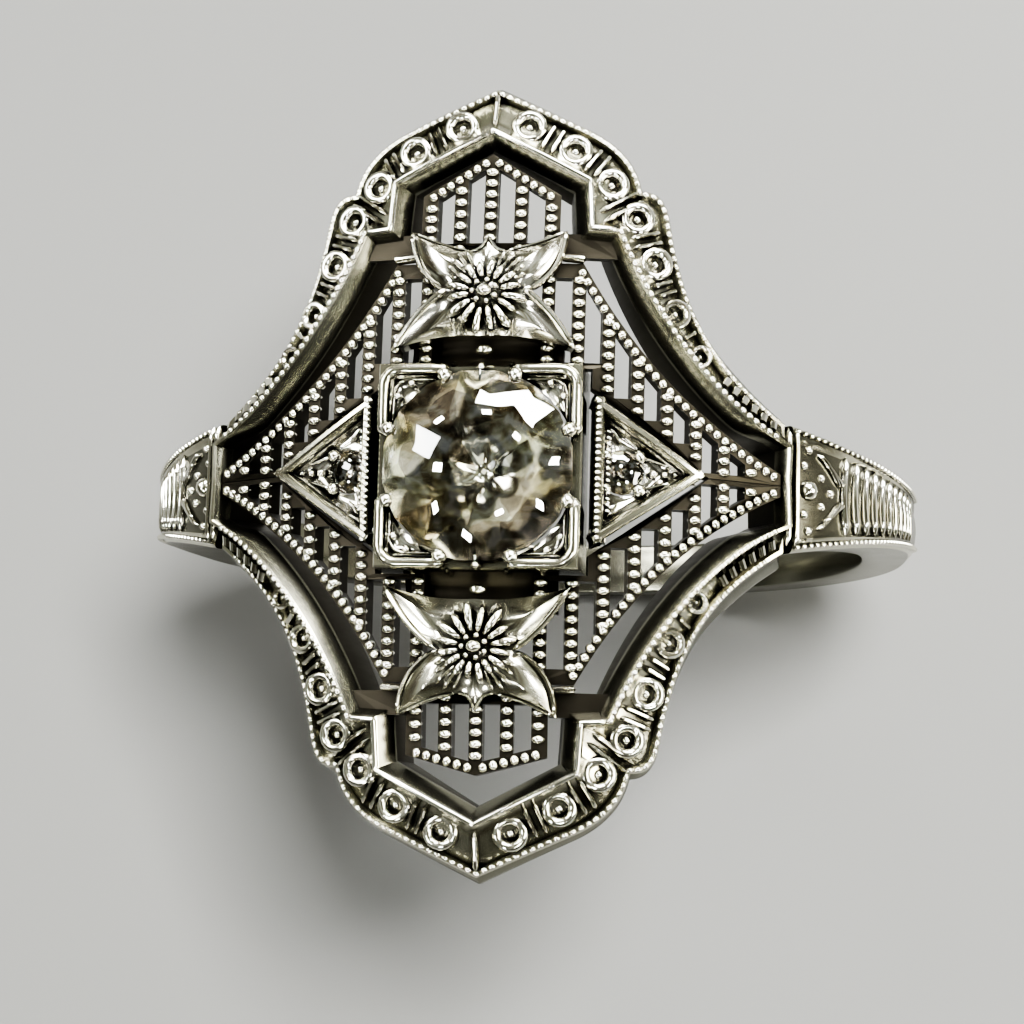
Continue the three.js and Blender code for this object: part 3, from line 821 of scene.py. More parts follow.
def brilliant(cut, place, name, node):
    """A faceted stone: table, stars, kites and upper halves above; halves, mains and a culet below."""
    make = Maker()
    groups = [
        ring_of(cut.table, cut.crown + cut.girdle_half, 8),
        ring_of(lerp(cut.table, cut.radius, 0.42), lerp(cut.crown, 0, 0.36) + cut.girdle_half, 8, 0.5),
        ring_of(cut.radius, cut.girdle_half, 16),
        ring_of(cut.radius, -cut.girdle_half, 16),
        ring_of(lerp(cut.radius, cut.culet, 0.62), -cut.girdle_half - cut.pavilion * 0.66, 8, 0.5),
        ring_of(cut.culet, -cut.girdle_half - cut.pavilion, 8),
    ]
    starts = []
    for group in groups:
        starts.append(len(make.points))
        make.points.extend(place @ p for p in group)
    table, star, top, low, half, culet = starts
    make.face([table + i for i in range(8)], True)
    for i in range(8):
        j, before = (i + 1) % 8, (i - 1) % 8
        a, b, c = (top + (2 * i + k) % 16 for k in range(3))
        make.face([table + i, star + i, table + j], True)
        make.face([star + i, a, b], True)
        make.face([star + i, b, c], True)
        make.face([table + i, star + before, a, star + i], True)
        d, e, f = (low + (2 * i + k) % 16 for k in range(3))
        make.face([d, half + i, e], True, 1)
        make.face([e, half + i, f], True, 1)
        make.face([half + before, culet + i, half + i, d], True, 1)
        make.face([culet + i, culet + j, half + i], True, 1)
    for i in range(16):
        j = (i + 1) % 16
        make.face([top + i, low + i, low + j, top + j], True)
    make.face([culet + i for i in reversed(range(8))], True, 1)
    make.make(name, (DIAMOND, DIAMOND_BACK), "diamond", node, smooth=False)


GIRDLE_HEIGHT = 0.92
STONE_RADIUS = 2.36
STONE_TURN = math.radians(11)
CENTRE_CUT = Cut(STONE_RADIUS, 1.25, 0.7, 1.87, 0.05, 0.17)
SIDE_CUT = Cut(0.55, 0.3, 0.16, 0.4, 0.02, 0.04)
SIDE_STONE_U = 3.35

head_place = Matrix.Translation((0, 0, FACE_TOP + GIRDLE_HEIGHT)) @ Matrix.Rotation(STONE_TURN, 4, "Z")
brilliant(CENTRE_CUT, head_place, "center_stone", "center_diamond")
for label, side in (("east", 1), ("west", -1)):
    spot = on_face(SIDE_STONE_U * side, 0, 0.3)
    tilt = Matrix.Rotation(SIDE_STONE_U * side / FACE_RADIUS, 4, "Y")
    brilliant(SIDE_CUT, Matrix.Translation(spot) @ tilt, f"side_stone_{label}", f"side_diamond_{label}")


# ---- Head: four walls, a raised L of rim at each corner, sunk corner plates and beads ----
HEAD_TOP = 1.0
HEAD_BOTTOM = -0.95
HEAD_WALL = 0.28
RIM_ARM = 0.8  # where each L of rim ends, from the middle of a side
RIM_BEND = 0.42
SIDE_DIP = 0.26  # how far the walls dip between the rims
POSTS = (-1.6, -0.72, 0.72, 1.6)  # where the north and south walls' posts stand
BASE_HALF, BASE_END, BASE_THICK = 1.9, 3.5, 0.2


def level(x, y, h):
    """A point of the flat head: h above the face's middle."""
    return Vector((x, y, FACE_TOP + h))


def level_ridge(make, line, width, height, taper=0.0):
    """A half-round bar along (x, y, h) points of the head."""
    make.sweep([level(*p) for p in line], [UP] * len(line), width, height, taper, 9)


def grain(make, spot, radius, height, sides=10, rings=4):
    """A round bead that stands upright on the head."""
    make.dome(spot, EAST, NORTH, UP, radius, radius, height, sides=sides, rings=rings)


def rounded_corner(half, arm, height):
    """An L-shaped line round the north-east corner of a square, from its east side to its north side."""
    centre = half - RIM_BEND
    line = [(half, lerp(arm, centre, t), height) for t in steps(8)[:-1]]
    for t in steps(6):
        a = math.pi / 2 * t
        line.append((centre + RIM_BEND * math.cos(a), centre + RIM_BEND * math.sin(a), height))
    return line + [(lerp(centre, arm, t), half, height) for t in steps(8)[1:]]


def wall_section(x, y, top):
    """The head's wall where the square's outline, from -1 to 1, passes x and y."""
    outer, inner = HEAD_HALF, HEAD_HALF - HEAD_WALL
    points = ((outer * 0.96, HEAD_BOTTOM), (outer, HEAD_BOTTOM + 0.3), (outer, top - 0.05),
              (outer - 0.04, top), (inner + 0.04, top), (inner, top - 0.05), (inner, HEAD_BOTTOM))
    return [level(x * reach, y * reach, h) for reach, h in points]


def head_walls():
    make = Maker()
    sections = []
    corners = ((1, 1), (-1, 1), (-1, -1), (1, -1))
    for here, after in zip(corners, corners[1:] + corners[:1]):
        for t in steps(24)[:-1]:
            near_rim = min(1.0, abs(t - 0.5) * HEAD_HALF / RIM_ARM)
            top = HEAD_TOP - 0.08 - SIDE_DIP * (1 - near_rim ** 6)
            sections.append(wall_section(*mix(here, after, t), top))
    # The outer wall takes painted shade; the inner wall and the underside take painted deep shade.
    make.grid(sections, around=True, loop=True, second=(0, 1), third=(5, 6))
    for cx, cy in corners:
        for half, arm, width, height, base in (
            (HEAD_HALF - 0.13, RIM_ARM, 0.3, 0.19, HEAD_TOP - 0.17),
            (HEAD_HALF - 0.36, RIM_ARM + 0.25, 0.1, 0.08, HEAD_TOP - 0.24),
        ):
            line = [(x * cx, y * cy, h) for x, y, h in rounded_corner(half, arm, base)]
            level_ridge(make, line, width, height, taper=0.08)
    for north in (1, -1):
        for x in POSTS:
            spots = [level(x, north * (HEAD_HALF + 0.02), lerp(-0.3, 0.7, t)) for t in steps(8)]
            make.sweep(spots, [NORTH * north] * len(spots), 0.16, 0.1, 0.1)
    make.make("head_walls", (WHITE_GOLD, PAINTED_SHADE_GOLD, PAINTED_DEEP_SHADE_GOLD), "white_gold", "head_box")


def slab(make, rows, thickness):
    """A plate whose top is the rows, closed below and round its edges."""
    below = [[p - UP * thickness for p in row] for row in reversed(rows)]
    start, width, count = len(make.points), len(rows[0]), 2 * len(rows)
    make.grid(rows + below, loop=True)
    make.face([start + r * width for r in range(count)])
    make.face([start + r * width + width - 1 for r in reversed(range(count))])


def head_base():
    """A sunk plate in painted deep shade that joins the head to each leaf plate."""
    make = Maker()
    for north in (1, -1):
        rows = []
        for t in steps(8):
            v = lerp(HEAD_HALF - 0.05, BASE_END, t)
            sag = 0.2 - 0.25 * math.sin(math.pi * t)
            rows.append([on_face(lerp(-BASE_HALF, BASE_HALF, s), north * v, sag) for s in steps(12)])
        slab(make, rows, BASE_THICK)
    make.make("head_base", PAINTED_DEEP_SHADE_GOLD, "oxidised_gold")


PLATE_FROM, PLATE_TO = math.radians(22), math.radians(68)  # the corner plate's turn round the stone
PLATE_THICK = 0.25
PRONG_TURNS = (math.radians(21.5), math.radians(68.5))
GRAIN_TURNS = (math.radians(40), math.radians(50))


def corner_plate(corner, cx, cy):
    """A sunk plate that dips from the rim to the stone, with two grains and two prong beads."""
    def spot(reach, a, height):
        return level(cx * reach * math.cos(a), cy * reach * math.sin(a), height)

    make = Maker()
    rows = []
    near = STONE_RADIUS + 0.02
    for t in steps(6):
        row = []
        dip = 0.7 + 0.22 * t - 0.16 * math.sin(math.pi * t)
        for s in steps(14):
            a = lerp(PLATE_FROM, PLATE_TO, s)
            far = (HEAD_HALF - 0.3) / max(math.cos(a), math.sin(a))
            row.append(spot(lerp(near, max(near + 0.02, far), t), a, dip))
        rows.append(row)
    slab(make, rows, PLATE_THICK)
    for a in GRAIN_TURNS:
        grain(make, spot(STONE_RADIUS + 0.3, a, 0.74), 0.11, 0.14)
    for a in PRONG_TURNS:
        grain(make, spot(near, a, GIRDLE_HEIGHT + 0.02), 0.19, 0.2, sides=16, rings=7)
        grain(make, spot(near + 0.16, a, 0.8), 0.17, 0.2, sides=12)
    make.make(f"corner_setting_{corner}", BRIGHT_GOLD, "bright_cut_gold", f"corner_prong_{corner}")


def middle_grains():
    """A small drop-shaped grain over the stone's edge at the middle of the north and south sides."""
    make = Maker()
    for north in (1, -1):
        grain(make, level(0.02, north * 2.42, 0.78), 0.13, 0.24, sides=14, rings=6)
        tail = [(0.02, north * lerp(1.95, 2.35, t), 1.0) for t in steps(6)]
        level_ridge(make, tail, 0.07, 0.05, 0.3)
        make.dome(level(0, north * 2.95, 0.35), EAST, NORTH, UP, 0.22, 0.14, 0.16, sides=14, rings=6)
    make.make("middle_grains", BRIGHT_GOLD, "bright_cut_gold")


head_walls()
head_base()
for corner, east, north in QUARTERS:
    corner_plate(corner, east, north)
middle_grains()


# ---- Side collets ----
COLLET_PROFILE = ((0.02, -0.1), (0.02, 0.62), (0.05, 0.71), (0.11, 0.76), (0.19, 0.76),
                  (0.25, 0.7), (0.29, 0.5), (0.29, 0.1))  # inset and height round the rim's section
BED_INSET = 0.3
BED_START = 0.57  # how far from the stone's middle the bed starts
BED_THICK = 0.3


def triangle(east):
    points = [(COLLET_BASE, COLLET_HALF), (COLLET_TIP, 0), (COLLET_BASE, -COLLET_HALF)]
    return [(u * east, v) for u, v in points[::east]]


def collet_rim(name, node, east):
    base = closed_steps(triangle(east), 0.12)
    columns = [moved(base, inset) for inset, _ in COLLET_PROFILE]
    heights = [height for _, height in COLLET_PROFILE]
    rows = [[on_face(*column[i], h) for column, h in zip(columns, heights)] for i in range(len(base))]
    make = Maker()
    # The outer wall, the inner wall and the underside take painted deep shade.
    make.grid(rows, around=True, loop=True, second=(0, 6, 7))
    make.make(name, (WHITE_GOLD, PAINTED_DEEP_SHADE_GOLD), "white_gold", node)


def collet_bed(name, node, east):
    """Facets that fall to the stone, grains round it and a row of milgrain on the collet's base."""
    edge = moved(closed_steps(triangle(east), 0.1), BED_INSET)
    centre = SIDE_STONE_U * east
    make = Maker()
    rows = []
    for t in steps(7):
        row = []
        height = 0.26 + 0.2 * t - 0.1 * math.sin(math.pi * t)
        for u, v in edge:
            start = Vector((u - centre, v)).normalized() * BED_START
            row.append(on_face(lerp(centre + start.x, u, t), lerp(start.y, v, t), height))
        rows.append(row)
    rows += [[p - UP * BED_THICK for p in row] for row in (rows[-1], rows[0])]
    make.grid(rows, around=True, loop=True)
    for k in range(4):
        a = math.pi / 4 + k * math.pi / 2
        make.bead(centre + 0.58 * math.cos(a), 0.58 * math.sin(a), 0.34, 0.16, 0.16, 0.17, sides=12, rings=5)
    for i in range(3):
        size = 0.11 - 0.02 * i
        make.bead(lerp(4.1, 4.62, i / 2) * east, 0, 0.36, size, size, 0.13)
    for side in (1, -1):
        line = [(lerp(3.75, 4.6, t) * east, side * lerp(0.42, 0.16, t), 0.34) for t in steps(8)]
        make.ridge(line, 0.09, 0.09, taper=0.3)
        line = [(lerp(3.0, 3.3, t) * east, side * lerp(1.1, 0.72, t), 0.38) for t in steps(8)]
        make.ridge(line, 0.1, 0.09, taper=0.3)
    base_row(make, (COLLET_BASE + 0.38) * east, 1.05, 0.4, 0.15, 0.055)
    make.make(name, BRIGHT_GOLD, "bright_cut_gold", node)


def base_row(make, u, half, height, pitch, thin):
    """A row of fine milgrain beside a collet's base."""
    for x, v, _ in spaced([(u, -half), (u, half)], pitch):
        make.bead(x, v, height, 0.1, thin, 0.08, sides=8, rings=3)


for label, side in (("east", 1), ("west", -1)):
    collet_rim(f"collet_rim_{label}", f"collet_{label}", side)
    collet_bed(f"collet_bed_{label}", f"collet_plate_{label}", side)

outer_milgrain = Maker()
for side in (1, -1):
    base_row(outer_milgrain, (COLLET_BASE + 0.1) * side, 1.75, 0.74, 0.16, 0.06)
outer_milgrain.make("collet_milgrain", BRIGHT_GOLD, "bright_cut_gold")


# ---- Ornaments: a four-leaved plate with a rayed flower on it ----
FLOWER_V = 4.36
WING_TIP = (2.14, 2.9)
WAIST = (0.9, 4.42)
LEAF_TIP = (1.88, 6.0)
ARCH = (0.46, 5.47)
CUSP = (0, 5.88)
HEAD_EDGE = bend((0, 3.22), (1.0, 3.3), WING_TIP)
WING_EDGE = bend(WING_TIP, (1.6, 3.95), WAIST)
LEAF_EDGE = bend(WAIST, (1.85, 4.85), LEAF_TIP)
LEAF_FOOT = bend(LEAF_TIP, (1.15, 5.58), ARCH)
CUSP_EDGE = bend(ARCH, (0.14, 5.42), CUSP)
PLATE_EDGE, PLATE_BASE = 0.33, 0.32  # heights of the plate's lower edge and underside
LEAF_RIMS = (  # edge, points along it, rim width, height of its foot, its rise
    (WING_EDGE, 20, 0.17, 0.8, 0.13), (LEAF_EDGE, 24, 0.17, 0.44, 0.2),
    (LEAF_FOOT, 16, 0.1, 0.44, 0.11), (CUSP_EDGE, 8, 0.1, 0.44, 0.11),
)
VEINS = 5
PETALS = 16
HEART_GRAINS = 7
HEART_RING = 0.27


def leaf_outline():
    """The plate's outline, clockwise from its middle by the head on a north plate."""
    runs = ((HEAD_EDGE, 14), (WING_EDGE, 14), (LEAF_EDGE, 16), (LEAF_FOOT, 10), (CUSP_EDGE, 6))
    half = []
    for curve, count in runs:
        half += even(curve, count)[:-1]
    half.append(CUSP)
    return half + [(-u, v) for u, v in half[::-1]][1:-1]


def leaf_height(x, y, r):
    """Height of the plate at (x, y) from the flower's centre, r of the way to the outline."""
    outer_part = max(0.0, min(1.0, 0.5 + y * 1.2))
    valley = 1 - math.exp(-((x / 0.3) ** 2))
    leaf = 0.46 + 0.34 * math.sin(math.pi * min(1, 0.12 + r * 0.86)) * (0.35 + 0.65 * valley)
    wing = 0.74 - 0.26 * math.sin(math.pi * min(1, r)) + 0.08 * r
    return lerp(wing, leaf, outer_part)


def vein(k, side, north):
    """One of the strokes that fan over a leaf from the flower."""
    turn = math.radians(24 + 10 * k)
    stop = 1.3 - 0.11 * abs(k - 1.5)
    stroke = []
    for t in steps(9):
        reach = lerp(0.5 + 0.05 * k, stop, t)
        x, y = reach * math.sin(turn), reach * math.cos(turn)
        stroke.append((side * x, north * (FLOWER_V + y), leaf_height(x, y, reach / 2.1) - 0.02))
    return stroke


def leaf_plate(name, node, north):
    """A crowned plate with a raised rim along each leaf and veins from the flower."""
    outline = leaf_outline()

    def ring(r, height):
        """The outline drawn in to r of its reach from the flower."""
        spots = [(u * r, (v - FLOWER_V) * r) for u, v in outline]
        return [on_face(x, north * (FLOWER_V + y), height(x, y, r)) for x, y in spots]

    make = Maker()
    rows = [ring(0.03 + 0.97 * t, leaf_height) for t in steps(14)]
    rows.append(ring(1, lambda x, y, r: PLATE_EDGE))
    rows.append(ring(0.1, lambda x, y, r: PLATE_BASE))
    make.grid(rows, around=True, caps=True)
    for side in (1, -1):
        for curve, count, width, height, rise in LEAF_RIMS:
            line = even(curve, count)
            rim = [(u * 0.98 * side, lerp(v, FLOWER_V, 0.01) * north, height) for u, v in line]
            make.ridge(rim, width, rise, taper=0.16)
        for k in range(VEINS):
            make.ridge(vein(k, side, north), 0.11, 0.1, taper=0.4)
    # Painted light: the north plate takes the brighter gold and the south one the plain white gold, as if
    # the north one were lit more.
    make.make(name, BRIGHT_GOLD if north > 0 else WHITE_GOLD, "bright_cut_gold", node)


def flower(name, node, north):
    """Raised petals that fan from the heart, long towards the head and short behind it."""
    make = Maker()
    for k in range(PETALS):
        turn = 2 * math.pi * (k + 0.5) / PETALS
        toward = 0.5 + 0.5 * math.cos(turn)
        upper = k % 2 == 0  # every other petal lies higher, and is shorter and narrower
        long = lerp(0.3, 0.42, toward) * (0.82 if upper else 1.0)
        reach = 0.3 + long
        u, v = reach * math.sin(turn), FLOWER_V - reach * math.cos(turn)
        tilt = math.atan2(-north * math.cos(turn), math.sin(turn))
        height, half = (0.72, 0.1) if upper else (0.66, 0.125)
        make.bead(u, v * north, height, long, half, 0.2, tilt, sides=14, rings=6)
    make.make(name, BRIGHT_GOLD, "bright_cut_gold", node)


def flower_heart(name, node, north):
    make = Maker()
    make.bead(0, north * FLOWER_V, 0.84, 0.2, 0.16, 0.2, sides=18, rings=7)
    for k in range(HEART_GRAINS):
        a = 2 * math.pi * (k + 0.5) / HEART_GRAINS
        u, v = HEART_RING * math.cos(a), north * FLOWER_V + HEART_RING * math.sin(a)
        make.bead(u, v, 0.82, 0.08, 0.08, 0.12)
    make.make(name, BRIGHT_GOLD, "bright_cut_gold", node)


for label, north in (("north", 1), ("south", -1)):
    leaf_plate(f"leaves_{label}", f"leaf_plate_{label}", north)
    flower(f"petals_{label}", f"flower_{label}", north)
    flower_heart(f"flower_heart_{label}", f"flower_center_{label}", north)


# ---- Corner caps: a bright bar and a grain at each corner of the panel ----
LARGE_GRAIN, SMALL_GRAIN = 0.21, 0.14


def corner_cap(corner, east, north):
    make = Maker()
    line = [(lerp(1.5, 2.36, t) * east, lerp(5.36, 5.3, t) * north, PANEL_TOP) for t in steps(12)]
    make.ridge(line, 0.2, 0.2, taper=0.1)
    size = LARGE_GRAIN if corner == "nw" else SMALL_GRAIN
    make.bead(1.72 * east, 5.64 * north, PANEL_TOP - 0.02, size, size, size * 1.2, sides=16, rings=6)
    make.make(f"corner_bar_{corner}", BRIGHT_GOLD, "bright_cut_gold", f"corner_cap_{corner}")


for corner, east, north in QUARTERS:
    corner_cap(corner, east, north)


# ---- Band: rounded lower band and engraved shoulders ----
FACE_CENTRE = FACE_TOP - FACE_RADIUS
SHOULDER_START = (FRAME_TIP + 0.02) / FACE_RADIUS
SHOULDER_END = math.radians(98)
SHOULDER_LENGTH = (SHOULDER_END - SHOULDER_START) * BAND_RADIUS
SHOULDER_RISE = 0.25
SHOULDER_HALF_WIDTH = 1.62
BAND_HALF_WIDTH = 0.75
WIDTH_EASE = 2.4  # how quickly the shoulder narrows at first
BAND_THIN = 0.15
BAND_CROWN, FIRST_CROWN = 0.2, 0.08
EDGE_SOFT = 0.1  # size of the rounding at the inner edges and the top's edges
SIDE_TOP = 0.26  # how far below the top the upright sides end
SUNK = 0.09  # how deep the shoulder's top is sunk between its edges
SUNK_EDGE = 0.24
SUNK_FROM, SUNK_TO = 0.68, 0.88  # where along the shoulder the sunk top runs out
FLUTE_PITCH = 0.44
FIRST_FLUTE = 1.75
FLUTES = 11
EDGE_BEADS, BEADED_SHARE = 36, 0.7
BIG_BEADS = ((0.42, 0, 0.27), (1.15, 0, 0.13))  # reach from the face, place across, size
TWIN_BEADS = ((0.3, 0.62, 0.13), (0.45, 1.02, 0.12), (0.85, 0.36, 0.12))


def band_profile(halfwidth, inner, outer, relief, crown, across):
    """(y, radius) points of a section: a rounded inside, upright sides and a top with relief."""
    corner = [(EDGE_SOFT, 0), (EDGE_SOFT * 0.3, EDGE_SOFT * 0.3), (0, EDGE_SOFT)]
    side = [(halfwidth - cut, inner + rise) for cut, rise in corner]
    side_top = outer - SIDE_TOP
    side += [(halfwidth, lerp(inner + EDGE_SOFT, side_top, 0.5)), (halfwidth, side_top)]
    points = [(-y, r) for y, r in side]
    for k in steps(across):
        s = 2 * k - 1
        edge = EDGE_SOFT * share(abs(s), 0.86, 1)
        points.append((s * (halfwidth - 0.03), outer - crown * s * s - edge + relief(s)))
    return points + side[::-1]


def side_places(across):
    """Places in a band_profile whose faces are its sides and rounded inner edges."""
    return (0, 1, 2, 3, *range(across + 6, across + 11))


def shoulder_path(t):
    """Turning centre, angle, inner and outer radius and half-width along a shoulder."""
    angle = lerp(SHOULDER_START, SHOULDER_END, t)
    centre = lerp(FACE_CENTRE, 0, smooth(t))
    lean = centre * math.cos(angle)
    bore = -lean + math.sqrt(lean * lean - centre * centre + BORE_RADIUS ** 2)
    inner = lerp(FACE_RADIUS + BORDER_BOTTOM, bore, smooth(min(1, t * 3)))
    outer = lerp(FACE_RADIUS + SHOULDER_RISE, BAND_RADIUS, smooth(t))
    halfwidth = lerp(SHOULDER_HALF_WIDTH, BAND_HALF_WIDTH, 1 - (1 - t) ** WIDTH_EASE)
    return centre, angle, inner, outer, halfwidth


def shoulder_spot(east, reach, y, lift):
    """A point on a shoulder, reach mm from the face, with its directions ahead and up."""
    centre, angle, _, outer, _ = shoulder_path(reach / SHOULDER_LENGTH)
    up = Vector((east * math.sin(angle), 0, math.cos(angle)))
    ahead = Vector((east * math.cos(angle), 0, -math.sin(angle)))
    return Vector((0, y, centre)) + up * (outer + lift), ahead, up


def shoulder(name, node, east):
    """A tapered shoulder whose top is sunk between two raised edges."""
    make = Maker()
    rows, across = [], 30
    for t in steps(60):
        centre, angle, inner, outer, halfwidth = shoulder_path(t)
        depth = SUNK * (1 - smooth(share(t, SUNK_FROM, SUNK_TO)))

        def relief(s):
            room = halfwidth * (1 - abs(s)) - SUNK_EDGE
            return -depth * share(room, 0, 0.06)

        crown = lerp(FIRST_CROWN, BAND_CROWN, t)
        profile = band_profile(halfwidth, inner, outer, relief, crown, across)
        rows.append([Vector((east * r * math.sin(angle), y, centre + r * math.cos(angle)))
                     for y, r in profile])
    # The sides, the bore and the middle of the top take painted shade.
    make.grid(rows, around=True, caps=True, second=(*side_places(across), *range(8, 31)))
    make.make(name, (WHITE_GOLD, PAINTED_SHADE_GOLD), "white_gold", node)


def shoulder_engraving(name, east):
    """A flower of beads and two leaves, then flutes across, between two rows of milgrain."""
    make = Maker()

    def bead(reach, y, size):
        spot, ahead, up = shoulder_spot(east, reach, y, -0.13)
        make.dome(spot, ahead, NORTH, up, size, size, size * 1.1, sides=14, rings=6)

    def bar(line, width, height):
        spots = [shoulder_spot(east, reach, y, -0.12) for reach, y in line]
        make.sweep([p[0] for p in spots], [p[2] for p in spots], width, height, 0.2)

    for reach, y, size in BIG_BEADS:
        bead(reach, y, size)
    for side in (1, -1):
        for reach, y, size in TWIN_BEADS:
            bead(reach, side * y, size)
        for lean in (0.0, 0.22, 0.44):
            start, end = 0.72 + lean, 1.5 + lean * 0.5
            leaf = [(lerp(start, end, t), side * lerp(0.95 - lean, 0.12, t ** 1.4)) for t in steps(8)]
            bar(leaf, 0.13, 0.14)
        for i in range(EDGE_BEADS):
            t = (i + 0.5) / EDGE_BEADS * BEADED_SHARE
            y = side * (shoulder_path(t)[4] - 0.13)
            spot, ahead, up = shoulder_spot(east, t * SHOULDER_LENGTH, y, -0.1)
            make.dome(spot, ahead, NORTH, up, 0.1, 0.08, 0.11, sides=8, rings=3)
    for k in range(FLUTES):
        reach = FIRST_FLUTE + k * FLUTE_PITCH
        half = shoulder_path(reach / SHOULDER_LENGTH)[4] - 0.26
        arc = [(reach - 0.16 * (1 - s * s), s * half) for s in (2 * t - 1 for t in steps(10))]
        bar(arc, 0.2 - 0.006 * k, 0.17 - 0.009 * k)
    make.make(name, BRIGHT_GOLD, "bright_cut_gold")


def lower_band():
    make = Maker()
    rows, across = [], 12
    for t in steps(150):
        angle = lerp(SHOULDER_END, 2 * math.pi - SHOULDER_END, t)
        outer = BAND_RADIUS - BAND_THIN * math.sin(math.pi * t)
        profile = band_profile(BAND_HALF_WIDTH, BORE_RADIUS, outer, lambda s: 0.0, BAND_CROWN, across)
        rows.append([Vector((r * math.sin(angle), y, r * math.cos(angle))) for y, r in profile])
    # The sides and the bore take painted shade.
    make.grid(rows, around=True, caps=True, second=side_places(across))
    make.make("lower_band", (WHITE_GOLD, PAINTED_SHADE_GOLD), "white_gold", "shank")


lower_band()
for label, side in (("east", 1), ("west", -1)):
    shoulder(f"shoulder_body_{label}", f"shoulder_{label}", side)
    shoulder_engraving(f"shoulder_engraving_{label}", side)


# ---- Stage ----
CAMERA_YAW, CAMERA_PITCH, CAMERA_ROLL = (math.radians(a) for a in (8.7, 8.0, 1.6))
CAMERA_DISTANCE = 63.0
CAMERA_RIGHT, CAMERA_UP = 0.7, -1.0  # where it aims, off the face's middle
VIEW_WIDTH = 25.055  # how much of the face's plane the picture takes in, across
SENSOR = 36.0


def camera_axes(yaw, pitch, roll):
    """Where the camera looks from, and its right and up, turned by the roll."""
    away = Vector((math.sin(yaw) * math.cos(pitch), -math.sin(pitch), math.cos(yaw) * math.cos(pitch)))
    right = Vector((math.cos(yaw), 0, -math.sin(yaw)))
    up = away.cross(right)
    return away, right * math.cos(roll) + up * math.sin(roll), up * math.cos(roll) - right * math.sin(roll)


def add_camera():
    away, right, up = camera_axes(CAMERA_YAW, CAMERA_PITCH, CAMERA_ROLL)
    spot = Vector((0, 0, FACE_TOP)) + right * CAMERA_RIGHT + up * CAMERA_UP + away * CAMERA_DISTANCE
    data = bpy.data.cameras.new("camera")
    data.sensor_width = SENSOR
    data.lens = CAMERA_DISTANCE / VIEW_WIDTH * SENSOR
    data.clip_start = 0.001
    camera = bpy.data.objects.new("camera", data)
    turn = Matrix((right, up, away)).transposed().to_4x4()
    camera.matrix_world = Matrix.Translation(spot * MM) @ turn
    bpy.context.scene.collection.objects.link(camera)
    bpy.context.scene.camera = camera


FLOOR_HALF = 600.0


def add_floor():
    low = cad_box[0].z / MM
    mesh = bpy.data.meshes.new("floor")
    corners = [Vector((x, y, low)) for x, y in ((-1, -1), (1, -1), (1, 1), (-1, 1))]
    corners = [Vector((p.x * FLOOR_HALF, p.y * FLOOR_HALF, p.z)) * MM for p in corners]
    mesh.from_pydata(corners, [], [(0, 1, 2, 3)])
    material, nodes, links = new_material("floor_paint")
    shader = nodes["Principled BSDF"]
    shader.inputs["Roughness"].default_value = 0.6
    shade = noise(nodes, links, object_place(nodes), 12, 2)
    paint = color_mix(nodes, links, shade, (0.27, 0.27, 0.255), (0.32, 0.32, 0.305))
    links.new(paint, shader.inputs["Base Color"])
    mesh.materials.append(material)
    floor = bpy.data.objects.new("floor", mesh)
    bpy.context.scene.collection.objects.link(floor)


LIGHT_DISTANCE = 150


def add_light(name, direction, width, height, power, color=(1, 1, 1), seen="mirrored"):
    """A soft box that faces the ring's head. Where it is seen: the "floor" that it lights,
    "mirrored" in the metal and stones, or only through the "stones"."""
    away = Vector(direction).normalized()
    data = bpy.data.lights.new(name, "AREA")
    data.shape = "RECTANGLE"
    data.size, data.size_y = width * MM, height * MM
    data.energy = power
    data.color = color
    light = bpy.data.objects.new(name, data)
    light.location = (Vector((0, 0, FACE_TOP)) + away * LIGHT_DISTANCE) * MM
    light.rotation_euler = away.to_track_quat("Z", "Y").to_euler()
    light.visible_diffuse = seen == "floor"
    light.visible_glossy = seen == "mirrored"
    light.visible_transmission = seen != "floor"
    bpy.context.scene.collection.objects.link(light)


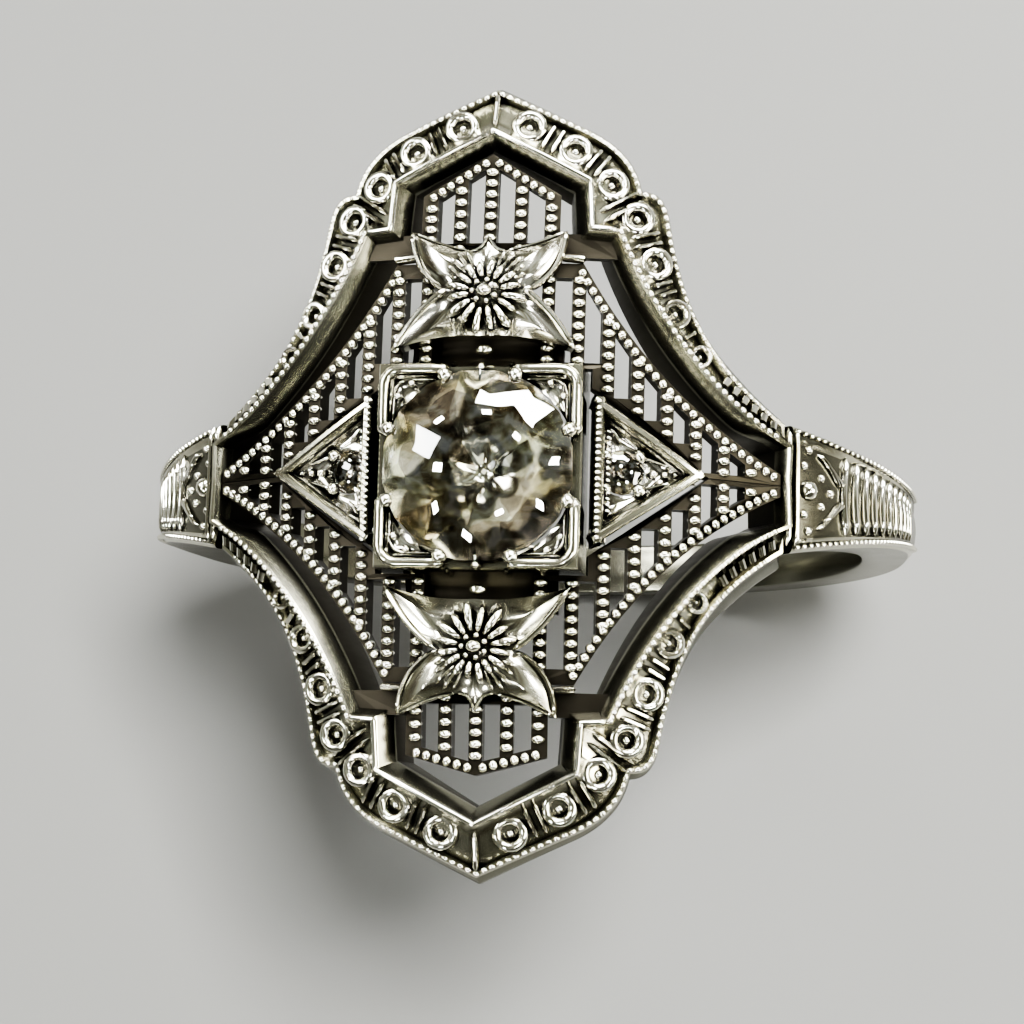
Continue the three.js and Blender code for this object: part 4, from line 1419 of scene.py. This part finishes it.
GLINTS = 9
GLINT_RISES = (0.75, 1.5, 1.05)
STONE_BOXES = (  # direction, size, power, colour
    ((-0.15, 0.1, 1.0), 80, 0.034, (1.0, 1.0, 0.88)), ((0.9, -0.35, 0.8), 70, 0.026, (1.0, 0.93, 0.8)),
    ((-0.9, -0.5, 0.7), 80, 0.026, (0.9, 0.92, 1.0)), ((0.25, -1.0, 0.75), 70, 0.022, (1.0, 1.0, 0.86)),
)


def add_small_lights():
    """Lamps round the ring that only show as glints, and faint boxes that fill the stones' facets."""
    for k in range(GLINTS):
        turn = 2 * math.pi * (k + 0.3) / GLINTS
        direction = (math.cos(turn), math.sin(turn), GLINT_RISES[k % 3])
        add_light(f"glint_{k}", direction, 15, 15, 0.05)
    for k, (direction, size, power, color) in enumerate(STONE_BOXES):
        add_light(f"stone_box_{k}", direction, size, size, power, color, seen="stones")


SOUTH_SHARE, NORTH_SHARE = 0.45, 1.4  # how bright the room's south and north sides are


def add_world(strength):
    """A dim room with paler and darker parts, for the metal and the stones to mirror."""
    world = bpy.data.worlds.new("world")
    world.use_nodes = True
    nodes, links = world.node_tree.nodes, world.node_tree.links
    place = nodes.new("ShaderNodeTexCoord").outputs["Generated"]
    clouds = noise(nodes, links, place, 4.5, 2)
    ramp = color_ramp(nodes, ((0.36, (0.02, 0.02, 0.018)), (0.45, (0.14, 0.11, 0.07)),
                              (0.52, (0.3, 0.31, 0.22)), (0.62, (0.7, 0.74, 0.7))))
    links.new(clouds, ramp.inputs["Fac"])
    back = nodes["Background"]
    links.new(ramp.outputs["Color"], back.inputs["Color"])
    parts = nodes.new("ShaderNodeSeparateXYZ")
    links.new(place, parts.inputs["Vector"])
    shares = (strength * SOUTH_SHARE, strength * NORTH_SHARE)
    links.new(ranged(nodes, links, parts.outputs["Y"], -0.4, 0.45, *shares), back.inputs["Strength"])
    bpy.context.scene.world = world


add_camera()
add_floor()
add_light("key_box", (0.3, 0.12, 1.0), 40, 40, 0.55, seen="floor")
add_light("north_box", (0.3, 1.0, 0.62), 120, 40, 0.5)
add_light("west_box", (-1.0, 0.5, 0.9), 40, 60, 0.12)
add_light("east_box", (1.0, -0.1, 0.35), 80, 50, 0.2, (1.0, 0.96, 0.84))
add_small_lights()
add_world(0.6)
bpy.context.scene.view_settings.look = "AgX - High Contrast"
